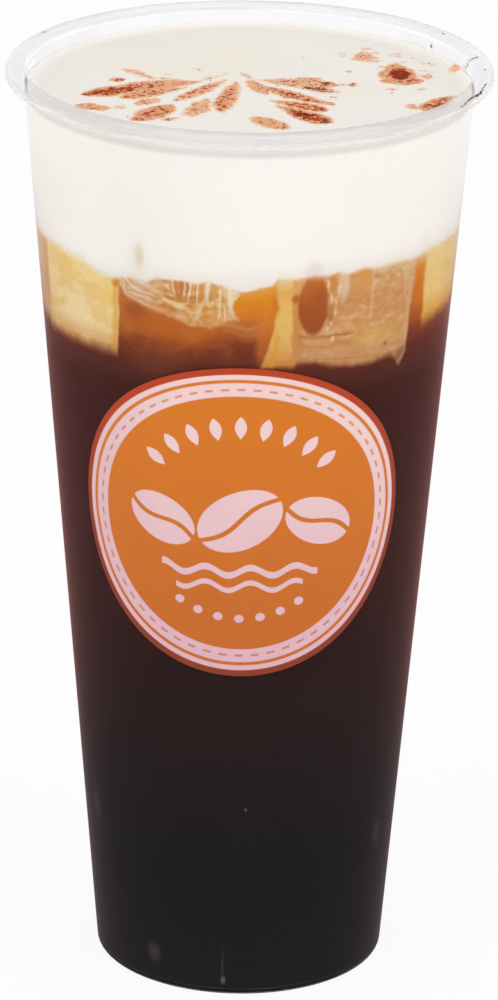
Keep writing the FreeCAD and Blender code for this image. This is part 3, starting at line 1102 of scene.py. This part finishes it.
# Petals sifted on the cream: root x, y, tip x, y, half width, fullest place, cover, darkness
PETALS = (
    (-9.0, 3.4, -27.0, -2.6, 3.4, 0.60, 0.85, 0.45),
    (-17.0, 0.6, -32.6, -6.8, 3.1, 0.62, 1.00, 0.95),
    (-12.0, -0.6, -25.2, -8.8, 2.3, 0.65, 0.85, 0.50),
    (-4.0, 5.2, -14.6, -10.6, 1.9, 0.60, 0.80, 0.50),
    (-2.4, 4.4, -5.8, -17.0, 2.2, 0.62, 0.85, 0.62),
    (-7.8, -8.0, -11.5, -20.4, 2.4, 0.60, 0.75, 0.30),
    (-14.6, -12.2, -21.9, -23.8, 3.0, 0.52, 0.90, 0.70),
    (-17.2, -8.4, -22.2, -13.2, 2.0, 0.50, 0.75, 0.25),
    (-33.6, -13.0, -26.6, -16.0, 2.3, 0.50, 0.80, 0.35),
    (-26.2, -13.6, -23.8, -15.8, 1.3, 0.50, 0.60, 0.20),
    (-17.0, -22.6, -13.4, -21.2, 1.2, 0.50, 0.70, 0.35),
    (-27.8, 4.2, -24.2, 3.2, 1.4, 0.50, 0.80, 0.60),
    (-24.6, 11.4, -18.2, 4.2, 1.3, 0.45, 0.70, 0.20),
    (-19.0, 5.2, -12.5, 4.0, 0.8, 0.50, 0.60, 0.30),
    (-10.3, 12.8, -9.7, 10.8, 0.8, 0.50, 0.55, 0.30),
    (-15.2, 10.6, -13.8, 9.0, 0.7, 0.50, 0.50, 0.20),
    (-16.8, 8.8, -15.3, 6.8, 0.9, 0.50, 0.50, 0.20),
    (-5.2, 8.2, -10.8, 3.2, 0.8, 0.50, 0.60, 0.20),
    (-4.2, 10.2, -5.8, 7.4, 0.5, 0.50, 0.55, 0.20),
    (-2.0, 10.4, 1.4, 4.2, 0.8, 0.50, 0.60, 0.20),
    (-12.4, -17.2, -13.3, -20.8, 0.7, 0.50, 0.50, 0.30),
    (1.2, 5.2, 17.2, 1.4, 3.3, 0.62, 0.72, 0.40),
    (5.6, 4.0, 14.4, 6.4, 1.7, 0.60, 0.80, 0.25),
    (13.4, 3.8, 16.6, 2.2, 1.5, 0.50, 1.00, 0.95),
    (15.8, 2.6, 20.2, 2.2, 0.4, 0.50, 0.80, 0.50),
    (20.1, 3.8, 20.2, 0.8, 0.5, 0.50, 1.00, 1.00),
    (-0.4, 5.4, 3.6, -5.0, 1.9, 0.55, 0.80, 0.30),
    (0.2, 2.6, 14.6, -10.8, 2.2, 0.62, 0.88, 0.65),
    (8.6, 1.0, 18.0, -2.6, 2.0, 0.60, 0.62, 0.85),
    (3.8, -8.6, 15.4, -15.4, 2.3, 0.62, 0.88, 0.70),
    (4.8, -11.4, 15.6, -23.6, 2.8, 0.70, 0.95, 0.90),
    (0.6, -19.4, 7.4, -27.8, 2.6, 0.50, 0.80, 0.30),
    (14.5, -9.2, 16.5, -11.8, 1.3, 0.50, 0.80, 0.30),
    (15.4, -5.6, 17.2, -6.6, 0.6, 0.50, 0.60, 0.50),
    (22.4, 27.2, 22.7, 18.6, 2.5, 0.72, 0.72, 0.25),
    (19.6, 20.2, 25.9, 21.2, 1.7, 0.50, 0.70, 0.20),
    (28.6, 18.0, 29.6, 3.8, 3.8, 0.62, 0.92, 0.7),
    (25.2, 5.6, 34.4, 5.4, 2.6, 0.50, 0.95, 0.70),
    (29.0, 14.6, 29.8, 5.4, 2.9, 0.50, 1.00, 1.6),
    (34.4, 10.4, 34.9, 7.0, 1.2, 0.50, 0.70, 0.25),
    (35.0, 17.8, 36.6, 16.6, 1.1, 0.50, 0.55, 0.15),
    (39.8, 15.6, 41.4, 11.4, 1.7, 0.50, 0.70, 0.20),
    (17.6, 23.2, 19.6, 22.0, 1.0, 0.50, 0.45, 0.10),
    (9.4, 21.4, 11.0, 20.9, 1.0, 0.50, 0.42, 0.15),
    (33.4, -14.4, 38.9, -4.6, 2.3, 0.45, 0.95, 0.80),
    (35.8, -6.2, 40.8, -4.2, 1.0, 0.50, 0.70, 0.30),
    (31.0, -9.4, 32.1, -13.4, 1.3, 0.50, 0.75, 0.30),
)
SPOT_COUNT = 46                # spots thrown at the right of the fan
SPECK_COUNT = 20               # tiny specks thrown over the fan
SPOT_REACH = 39.0              # farthest a spot may lie from the middle


def petal_marks(x, y, seed):
    """Cover and darkness of the sifted cocoa at points of the cream."""
    cover = np.zeros_like(x)
    dark = np.zeros_like(x)
    x, y = (x + 1.1 * plan_cloud(x, y, 2.2, 41) + 0.5 * plan_cloud(x, y, 0.8, 43),
            y + 1.1 * plan_cloud(x, y, 2.2, 45) + 0.5 * plan_cloud(x, y, 0.8, 47))
    for (root_x, root_y, tip_x, tip_y, half_width, fullest, thickness,
         depth) in PETALS + scattered_spots(seed):
        length = math.hypot(tip_x - root_x, tip_y - root_y)
        way_x, way_y = (tip_x - root_x) / length, (tip_y - root_y) / length
        along = (x - root_x) * way_x + (y - root_y) * way_y
        aside = np.abs((y - root_y) * way_x - (x - root_x) * way_y)
        share = np.clip(along / length, 0.0, 1.0)
        bulge = math.log(0.5) / math.log(fullest)
        width = half_width * np.sin(math.pi * share ** bulge) ** 0.62
        inside = width - aside
        inside = np.where((along < 0) | (along > length), -9.0, inside)
        cover = np.maximum(cover, thickness * soft_step(-1.4, 0.9, inside))
        dark = np.maximum(dark, depth * soft_step(-0.1, 0.62 * half_width, inside)
                          * soft_step(0.0, 0.35, share))
    return np.array((cover, dark))


def scattered_spots(seed):
    """Small stray spots of cocoa behind and beside the fan of petals."""
    draw = random.Random(seed)
    spots = []
    for _ in range(SPOT_COUNT):
        x = draw.gauss(29.0, 5.5)
        y = draw.gauss(17.0, 8.5)
        if math.hypot(x, y) > SPOT_REACH:
            continue
        size = draw.uniform(0.4, 1.1)
        turn = draw.uniform(0, math.pi)
        spots.append((x, y, x + 2 * size * math.cos(turn), y + 2 * size * math.sin(turn),
                      size * 0.8, 0.5, draw.uniform(0.55, 0.85), draw.uniform(0.0, 0.2)))
    for _ in range(SPECK_COUNT):
        x = draw.uniform(-30.0, 22.0)
        y = draw.uniform(-24.0, 14.0)
        spots.append((x, y, x + 0.5, y + draw.uniform(-0.3, 0.3), 0.3, 0.5, 0.6, 0.5))
    return tuple(spots)


# ---------------------------------------------------------------- pieces

TURN_STEPS = 720               # columns of the turned pieces
SMOOTH_ANGLE = math.radians(50)
RIPPLE_DEPTH = 9.0             # how far from the coffee's level its ripples die away


def heights(low, high, step):
    """Evenly spaced heights from low to high, both kept."""
    return list(np.linspace(low, high, round((high - low) / step) + 1))


def at_wall(rows):
    """Points of a section along the wall, as far in it as the drink reaches."""
    return [(inner_radius(height) + INTO_WALL, height) for height in rows]


def coffee_profile():
    corner_radius = inner_radius(FLOOR_HEIGHT) - LEDGE_WIDTH - FLOOR_CORNER
    profile = [(0.0, FLOOR_HEIGHT - INTO_WALL), (corner_radius / 2, FLOOR_HEIGHT - INTO_WALL)]
    profile += arc((corner_radius, FLOOR_HEIGHT + FLOOR_CORNER), FLOOR_CORNER + INTO_WALL,
                   -90, -math.degrees(math.atan(SLOPE)), 8)
    profile.append((inner_radius(LEDGE_HEIGHT) - LEDGE_WIDTH + INTO_WALL, LEDGE_HEIGHT))
    return profile + at_wall([LEDGE_HEIGHT + LEDGE_RISE, 60.0, 100.0]
                             + heights(PAINT_FOOT, COFFEE_LEVEL, 0.3))


def surface_rings():
    """Points of a section from the wall to the middle, at the coffee's level."""
    widest = inner_radius(COFFEE_LEVEL) + INTO_WALL
    count = 6
    return [(widest * (1 - step / count), COFFEE_LEVEL) for step in range(1, count + 1)]


def ripple_surface(piece):
    """Bends the layers of points near the coffee's level to its rippled surface."""
    points = read_points(piece)
    lift = coffee_surface(points[:, 0], points[:, 1]) - COFFEE_LEVEL
    near = 1 - np.clip(np.abs(points[:, 2] - COFFEE_LEVEL) / RIPPLE_DEPTH, 0.0, 1.0)
    points[:, 2] += lift * near
    write_points(piece, points)


def poured_piece(name, profile):
    """Turned piece of drink, rippled and painted at the wall."""
    piece = turned_piece(name, profile, TURN_STEPS)
    crowd_front(piece)
    ripple_surface(piece)
    paint_piece(piece)
    return piece


class ICEDCOFFEE_OT_cup(bpy.types.Operator):
    """Gives the moulded cup its clear plastic"""
    bl_idname = "iced_coffee.finish_cup"
    bl_label = "Finish cup"

    def execute(self, context):
        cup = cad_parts["cup"]
        cup.material_slots[0].material = clear_plastic(context.scene.iced_coffee.cup)
        return {"FINISHED"}


class ICEDCOFFEE_OT_coffee(bpy.types.Operator):
    """Pours the coffee up to the rippled surface under the cream"""
    bl_idname = "iced_coffee.pour_coffee"
    bl_label = "Pour coffee"

    def execute(self, context):
        piece = poured_piece("coffee_with_melt", coffee_profile() + surface_rings())
        smooth(piece, SMOOTH_ANGLE)
        piece.data.materials.append(coffee_material(context.scene.iced_coffee))
        settle(piece, "coffee", "coffee")
        return {"FINISHED"}


CREAM_BRIM = CREAM_LEVEL + MENISCUS_RISE
CREAM_FLAT = inner_radius(CREAM_LEVEL) - MENISCUS_WIDTH
POWDER_HEIGHT = 0.10
TOP_WAVES = 11.0               # size of the soft waves on top of the cream


def cream_profile():
    """Section of the cream: its foot, the wall, the meniscus and the level top."""
    profile = [(0.0, COFFEE_LEVEL)] + surface_rings()[-2::-1]
    profile += at_wall(heights(COFFEE_LEVEL, 162.0, 0.4)
                       + [165.0, 172.0, CREAM_BRIM - 0.4, CREAM_BRIM])
    controls = ((inner_radius(CREAM_BRIM), CREAM_BRIM + 0.001),
                (inner_radius(CREAM_LEVEL) - MENISCUS_CLING, CREAM_LEVEL),
                (CREAM_FLAT, CREAM_LEVEL))
    curve_steps = 8
    for step in range(curve_steps + 1):
        share = step / curve_steps
        weights = ((1 - share) ** 2, 2 * share * (1 - share), share ** 2)
        profile.append(tuple(sum(weight * point[axis] for weight, point in zip(weights, controls))
                             for axis in (0, 1)))
    flat_steps = 84
    return profile + [(CREAM_FLAT * (1 - step / flat_steps), CREAM_LEVEL)
                      for step in range(1, flat_steps + 1)]


class ICEDCOFFEE_OT_cream(bpy.types.Operator):
    """Spreads the sea salt cream and sifts the cocoa petals on it"""
    bl_idname = "iced_coffee.spread_cream"
    bl_label = "Spread cream"

    def execute(self, context):
        settings = context.scene.iced_coffee
        piece = poured_piece("sea_salt_cream", cream_profile())
        points = read_points(piece)
        x, y, z = points.T
        on_top = z > CREAM_LEVEL - 0.05
        cover, dark = petal_marks(x, y, settings.cocoa.seed) * on_top
        edge = np.clip((CREAM_FLAT + 1.5 - np.hypot(x, y)) / 4.0, 0.0, 1.0)
        waves = 2.0 * plan_cloud(x, y, TOP_WAVES, 51) + 0.5 * plan_cloud(x, y, 2.0, 53)
        relief = settings.cream.relief / MM
        points[:, 2] += on_top * (edge * relief * waves + POWDER_HEIGHT * cover)
        write_points(piece, points)
        for name, values in (("cocoa_cover", cover), ("cocoa_dark", dark)):
            attribute = piece.data.attributes.new(name, "FLOAT", "POINT")
            attribute.data.foreach_set("value", values.astype(np.float32))
        smooth(piece, SMOOTH_ANGLE)
        piece.data.materials.append(cream_material(settings))
        settle(piece, "cream", "cream")
        return {"FINISHED"}


# Layers of a cube from its face at the wall: millimetres inwards, millimetres wider. The last two
# count from the cube's own depth.
CUBE_LAYERS = ((0.0, 0.0), (0.25, 0.35), (0.8, 0.7), (2.0, 0.9), (-1.5, 0.9), (0.0, -0.4))


def add_cube(left, right, foot, tilt, settings):
    """One cube of ice: its face lies on the wall, its body reaches inwards and narrows."""
    top = COFFEE_LEVEL + 1.0
    across_steps = max(12, round((right - left) / 0.3))
    up_steps = round((top - foot) / 0.35)
    deselect_all()
    bpy.ops.mesh.primitive_grid_add(x_subdivisions=across_steps, y_subdivisions=up_steps, size=2.0)
    cube = bpy.context.object
    bpy.ops.object.mode_set(mode="EDIT")
    bpy.ops.mesh.select_all(action="SELECT")
    bpy.ops.mesh.region_to_loop()
    inward, spread = np.array(CUBE_LAYERS).T
    inward[-2:] += settings.depth / MM
    for _ in inward[1:]:
        bpy.ops.mesh.extrude_region_move(TRANSFORM_OT_translate={"value": (0, 0, -1.0)})
    bpy.ops.mesh.edge_face_add()
    bpy.ops.object.mode_set(mode="OBJECT")
    aside, upward, depth = (read_points(cube) * MM).T
    layer = np.rint(-depth).astype(int)
    cut = settings.corner
    across = aside * np.sqrt(1 - cut * upward * upward)
    upward = upward * np.sqrt(1 - cut * aside * aside)
    grow = spread[layer]
    bearing = (left + right) / 2 + across * ((right - left) / 2 + grow * 1.3)
    height = (top + foot) / 2 + upward * ((top - foot) / 2 + grow)
    height = height + tilt * (bearing - (left + right) / 2) * (1 - upward) / 2
    reach = inner_radius(height) + INTO_WALL + 0.03 - inward[layer]
    turn = np.radians(bearing)
    write_points(cube, np.stack([reach * np.sin(turn), -reach * np.cos(turn), height], 1))
    return cube


class ICEDCOFFEE_OT_ice(bpy.types.Operator):
    """Sinks the ice cubes at the coffee's surface, flush with the wall"""
    bl_idname = "iced_coffee.add_ice"
    bl_label = "Add ice"

    def execute(self, context):
        settings = context.scene.iced_coffee
        extents = [cube[:4] for cube in PLAIN_CUBES] + list(VEINED_CUBES)
        cubes = [add_cube(*extent, settings.ice) for extent in extents]
        deselect_all()
        for cube in cubes:
            cube.select_set(True)
        context.view_layer.objects.active = cubes[0]
        bpy.ops.object.join()
        piece = context.object
        piece.name = "ice_cubes"
        piece.data.name = "ice_cubes"
        bpy.ops.object.mode_set(mode="EDIT")
        bpy.ops.mesh.select_all(action="SELECT")
        bpy.ops.mesh.normals_make_consistent(inside=False)
        bpy.ops.object.mode_set(mode="OBJECT")
        smooth(piece, math.radians(35))
        paint_piece(piece)
        piece.data.materials.append(ice_material(settings))
        settle(piece, "coffee")
        return {"FINISHED"}


def grain_template():
    """One small rough grain, as points and faces about its own middle."""
    deselect_all()
    bpy.ops.mesh.primitive_ico_sphere_add(subdivisions=1, radius=1.0)
    grain = bpy.context.object
    bpy.ops.object.mode_set(mode="EDIT")
    bpy.ops.mesh.select_all(action="SELECT")
    bpy.ops.transform.vertex_random(offset=0.25, seed=3)
    bpy.ops.object.mode_set(mode="OBJECT")
    points = np.array([vertex.co for vertex in grain.data.vertices])
    faces = np.array([tuple(face.vertices) for face in grain.data.polygons])
    bpy.data.objects.remove(grain)
    return points, faces


def grain_piece(name, placed, colour, slot_name):
    """One piece from many copies of a grain, each given as a 3 by 3 turn and size, and a place."""
    points, faces = grain_template()
    all_points = np.concatenate([points @ shape.T + place for shape, place in placed]) * MM
    all_faces = np.concatenate([faces + len(points) * index for index in range(len(placed))])
    mesh = bpy.data.meshes.new(name)
    mesh.from_pydata(all_points.tolist(), [], all_faces.tolist())
    mesh.update()
    piece = bpy.data.objects.new(name, mesh)
    bpy.context.scene.collection.objects.link(piece)
    mesh.materials.append(cocoa_material(name, colour))
    settle(piece, slot_name)


GRAIN_TRIES = 90000
GRAIN_SQUARE = 41.0            # half width of the square that is tried
GRAIN_REACH = 40.5             # farthest a grain may lie from the middle


class ICEDCOFFEE_OT_cocoa(bpy.types.Operator):
    """Scatters loose cocoa grains over the sifted petals"""
    bl_idname = "iced_coffee.scatter_cocoa"
    bl_label = "Scatter cocoa"

    def execute(self, context):
        cocoa = context.scene.iced_coffee.cocoa
        draw = np.random.default_rng(cocoa.seed)
        tries = draw.uniform(-GRAIN_SQUARE, GRAIN_SQUARE, (GRAIN_TRIES, 2))
        x, y = tries.T
        cover, dark = petal_marks(x, y, cocoa.seed)
        clumps = soft_step(-0.12, 0.2, plan_cloud(x, y, 1.6, 61))
        weight = cover * (0.02 + 0.98 * dark ** 1.5) * clumps
        kept = tries[draw.uniform(0, 1, len(tries)) < weight]
        kept = kept[np.hypot(kept[:, 0], kept[:, 1]) < GRAIN_REACH][:cocoa.grains]
        placed = []
        for x, y in kept:
            size = cocoa.grain_size / MM * (0.35 + 0.65 * draw.uniform() ** 2)
            turn = Matrix.Rotation(draw.uniform(0, 2 * math.pi), 3, "Z")
            squash = (1.0, draw.uniform(0.6, 1.0), draw.uniform(0.3, 0.6))
            shape = np.array(turn) * size * np.array(squash)
            placed.append((shape, (x, y, CREAM_LEVEL + POWDER_HEIGHT + size * 0.1)))
        grain_piece("cocoa_grains", placed, tuple(cocoa.grain), "cream")
        return {"FINISHED"}


RIM_INNER_ROUND = 0.9          # roundings at the rim's inner and outer edges
RIM_OUTER_ROUND = 0.7
RIM_INSIDE = 3.4               # how far down inside the rim a streak may run
# Streaks of cocoa on the rim: points (bearing, millimetres outwards from the inner edge), width,
# number of grains
RIM_STREAKS = (
    (((101.7, -1.5), (99.0, -0.3), (98.7, 0.8), (99.6, 1.7), (100.8, 2.8)), 0.26, 110),
    (((58.6, 4.8), (63.3, 4.2), (66.1, 4.15), (69.6, 4.45), (74.1, 4.05), (78.0, 3.95)), 0.26, 190),
    (((67.0, 4.4), (69.6, 4.5), (71.4, 4.3)), 0.34, 50),
    (((84.8, -0.4), (81.0, -0.5), (77.8, -0.6)), 0.16, 34),
    (((122.4, 2.8), (123.2, 2.7)), 0.35, 10),
    (((123.2, -1.4), (123.8, -1.6)), 0.3, 9),
    (((89.2, 3.0), (89.7, 3.1)), 0.3, 8),
    (((-118.8, 3.4), (-117.9, 3.5)), 0.3, 8),
)


def rim_place(bearing, outwards):
    """Point of the rim's surface and its outward direction, from the inner edge outwards."""
    inner = arc((inner_radius(CUP_HEIGHT) + RIM_INNER_ROUND, CUP_HEIGHT - RIM_INNER_ROUND),
                RIM_INNER_ROUND, 180, 90, 8)
    outer = arc((RIM_RADIUS - RIM_OUTER_ROUND, CUP_HEIGHT - RIM_OUTER_ROUND),
                RIM_OUTER_ROUND, 90, 0, 8)
    low = (inner_radius(CUP_HEIGHT - RIM_INSIDE), CUP_HEIGHT - RIM_INSIDE)
    outline = np.array([low] + inner + outer)
    steps = np.hypot(*np.diff(outline, axis=0).T)
    travel = np.concatenate([[0.0], np.cumsum(steps)]) - steps[0]

    def section_point(distance):
        return np.array([np.interp(distance, travel, outline[:, axis]) for axis in (0, 1)])

    radius, height = section_point(outwards)
    ahead = section_point(outwards + 0.1) - section_point(outwards)
    ahead = ahead / np.hypot(*ahead)
    turn = math.radians(bearing)
    side = Vector((math.sin(turn), -math.cos(turn), 0.0))
    place = side * radius + Vector((0, 0, height))
    normal = side * -ahead[1] + Vector((0, 0, ahead[0]))
    return place, normal


class ICEDCOFFEE_OT_rim_cocoa(bpy.types.Operator):
    """Smears thin streaks of cocoa on the rim"""
    bl_idname = "iced_coffee.smear_rim"
    bl_label = "Smear rim"

    def execute(self, context):
        cocoa = context.scene.iced_coffee.cocoa
        draw = random.Random(cocoa.seed)
        placed = []
        for points, width, count in RIM_STREAKS:
            travel = np.linspace(0, 1, len(points))
            for _ in range(count):
                share = draw.random()
                bearing, outwards = (np.interp(share, travel, row) for row in zip(*points))
                place, normal = rim_place(bearing + draw.gauss(0, width * 0.5),
                                          outwards + draw.gauss(0, width * 0.4))
                size = width * draw.uniform(0.3, 0.75)
                turn = normal.to_track_quat("Z", "Y").to_matrix() @ Matrix.Rotation(
                    draw.uniform(0, math.pi), 3, "Z")
                shape = np.array(turn) * size * np.array((1.0, draw.uniform(0.5, 0.9), 0.14))
                placed.append((shape, np.array(place + normal * 0.01)))
        grain_piece("rim_cocoa", placed, tuple(cocoa.smear), "cup")
        return {"FINISHED"}


class ICEDCOFFEE_OT_sticker(bpy.types.Operator):
    """Prints the round sticker"""
    bl_idname = "iced_coffee.print_sticker"
    bl_label = "Print sticker"

    def execute(self, context):
        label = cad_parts["label"]
        label.material_slots[0].material = sticker_material(context.scene.iced_coffee)
        return {"FINISHED"}


# ---------------------------------------------------------------- stage

CAMERA_PLACE = (0.00098, -1.119, 0.51507)
CAMERA_PITCH = 20.556
CAMERA_ROLL = 0.760
CAMERA_LENS = 215.71
FLOOR_SIZE = 8.0
# Lamps: name, bearing, elevation (degrees), distance, size (metres), share of front or side light
LAMPS = (
    ("left_softbox", -41, 45, 1.7, 0.7, "key"),
    ("right_softbox", 52, 45, 1.7, 0.42, "key"),
    ("left_side", -105, 14, 1.3, 0.8, "side"),
    ("right_side", 105, 14, 1.3, 0.8, "side"),
)


def add_lamp(name, bearing, elevation, distance, size, power):
    """Square lamp seen from the rim at a bearing and elevation, aimed at the cup."""
    data = bpy.data.lights.new(name, "AREA")
    data.shape = "SQUARE"
    data.size = size
    data.energy = power
    turn, rise = math.radians(bearing), math.radians(elevation)
    lamp = bpy.data.objects.new(name, data)
    lamp.location = (distance * math.cos(rise) * math.sin(turn),
                     -distance * math.cos(rise) * math.cos(turn),
                     distance * math.sin(rise) + CUP_HEIGHT * MM)
    aim = Vector((0, 0, 0.1)) - lamp.location
    lamp.rotation_euler = aim.to_track_quat("-Z", "Y").to_euler()
    bpy.context.scene.collection.objects.link(lamp)


def add_camera(scene):
    data = bpy.data.cameras.new("view")
    data.lens = CAMERA_LENS
    data.sensor_width = 36.0
    data.clip_start = 0.05
    data.clip_end = 30.0
    camera = bpy.data.objects.new("view", data)
    camera.location = CAMERA_PLACE
    camera.rotation_mode = "XYZ"
    look = Matrix.Rotation(math.radians(90 - CAMERA_PITCH), 4, "X")
    roll = Matrix.Rotation(math.radians(CAMERA_ROLL), 4, "Z")
    camera.rotation_euler = (look @ roll).to_euler("XYZ")
    scene.collection.objects.link(camera)
    scene.camera = camera


def sorted_rays(sheet):
    """Rays seen straight or through clear plastic, and rays that the cup mirrors, as shares."""
    camera, through, glossy, depth = sheet.light_path(
        "Is Camera Ray", "Is Transmission Ray", "Is Glossy Ray", "Diffuse Depth")
    seen = sheet.larger(camera, through) * sheet.math("LESS_THAN", depth, 0.5)
    return seen, sheet.math("SUBTRACT", glossy, through, clamp=True)


def floor_material(stage):
    """Pale floor. In what the cup mirrors it is darker near the cup: painted shade at the foot and
    a painted reddish glow round it.
    """
    material, sheet, shader, output = new_material("pale_floor")
    where = sheet.here()
    tone = sheet.noise(where, 3.0, detail=2.0)
    sheet.feed(shader, {
        "Base Color": sheet.mix(tone, (0.80, 0.80, 0.80, 1), (0.84, 0.84, 0.84, 1)),
        "Roughness": 0.9, "Specular IOR Level": 0.0})
    white = sheet.read("ShaderNodeEmission", 0, {"Strength": stage.backdrop})
    distance = sheet.read("ShaderNodeVectorMath", "Value", {0: where}, operation="LENGTH")
    # Painted shade at the foot and painted reddish glow round the cup, in what the cup mirrors.
    floor = sheet.mix(sheet.ease(distance, 0.08, 0.2), stage.foot_shade_reflection, stage.near_glow_reflection)
    floor = sheet.mix(sheet.ease(distance, 0.34, 0.56), floor, stage.far_floor)
    dim = sheet.read("ShaderNodeEmission", 0, {"Color": floor})
    seen, mirrored = sorted_rays(sheet)
    direct = sheet.mix_shader(seen * 0.9, Value(sheet, shader.outputs[0]), white)
    sheet.feed(output, {"Surface": sheet.mix_shader(mirrored, direct, dim)})
    return material


def build_world(scene, stage):
    world = bpy.data.worlds.new("studio")
    scene.world = world
    world.use_nodes = True
    world.node_tree.nodes.clear()
    sheet = Sheet(world.node_tree)

    def white_sky(strength):
        return sheet.read("ShaderNodeBackground", 0, {
            "Color": (1.0, 1.0, 1.0, 1.0), "Strength": strength})

    direction = sheet.read("ShaderNodeTexCoord", "Generated")
    rise = sheet.read("ShaderNodeSeparateXYZ", "Z", {0: direction})
    light = white_sky(sheet.ease(rise, 0.0, 1.0, stage.horizon, stage.zenith))
    seen, mirrored = sorted_rays(sheet)
    dimmed = sheet.mix_shader(mirrored, light, white_sky(stage.mirrored))
    shown = sheet.mix_shader(seen, dimmed, white_sky(stage.backdrop))
    sheet.add("ShaderNodeOutputWorld", {"Surface": shown})


class ICEDCOFFEE_OT_stage(bpy.types.Operator):
    """Sets the floor, the soft lamps, the pale surroundings and the camera"""
    bl_idname = "iced_coffee.set_stage"
    bl_label = "Set stage"

    def execute(self, context):
        scene = context.scene
        stage = scene.iced_coffee.stage
        scene.view_settings.view_transform = "Standard"
        deselect_all()
        bpy.ops.mesh.primitive_plane_add(size=FLOOR_SIZE, location=(0, 0, 0))
        floor = context.object
        floor.name = "floor"
        floor.data.materials.append(floor_material(stage))
        for *lamp, kind in LAMPS:
            add_lamp(*lamp, getattr(stage, kind))
        build_world(scene, stage)
        add_camera(scene)
        return {"FINISHED"}


class ICEDCOFFEE_PT_panel(bpy.types.Panel):
    """Steps that dress the cup of iced coffee"""
    bl_label = "Iced coffee"
    bl_idname = "ICEDCOFFEE_PT_panel"
    bl_space_type = "VIEW_3D"
    bl_region_type = "UI"
    bl_category = "Iced coffee"

    def draw(self, context):
        for step in STEPS:
            self.layout.operator(step.bl_idname)
        settings = context.scene.iced_coffee
        for name in IcedCoffeeSettings.__annotations__:
            part = getattr(settings, name)
            box = self.layout.box()
            box.label(text=name.capitalize())
            for value in type(part).__annotations__:
                box.prop(part, value)


SETTINGS = (ClearCupSettings, CoffeeSettings, IceSettings, CreamSettings, CocoaSettings,
            StickerSettings, StageSettings, IcedCoffeeSettings)
STEPS = (ICEDCOFFEE_OT_cup, ICEDCOFFEE_OT_coffee, ICEDCOFFEE_OT_cream, ICEDCOFFEE_OT_ice,
         ICEDCOFFEE_OT_cocoa, ICEDCOFFEE_OT_rim_cocoa, ICEDCOFFEE_OT_sticker,
         ICEDCOFFEE_OT_stage)


def register():
    for kind in SETTINGS + STEPS + (ICEDCOFFEE_PT_panel,):
        bpy.utils.register_class(kind)
    bpy.types.Scene.iced_coffee = bpy.props.PointerProperty(type=IcedCoffeeSettings)


def unregister():
    del bpy.types.Scene.iced_coffee
    for kind in reversed(SETTINGS + STEPS + (ICEDCOFFEE_PT_panel,)):
        bpy.utils.unregister_class(kind)


def main():
    register()
    for step in STEPS:
        group, name = step.bl_idname.split(".")
        getattr(getattr(bpy.ops, group), name)()


if __name__ == "__main__":
    main()
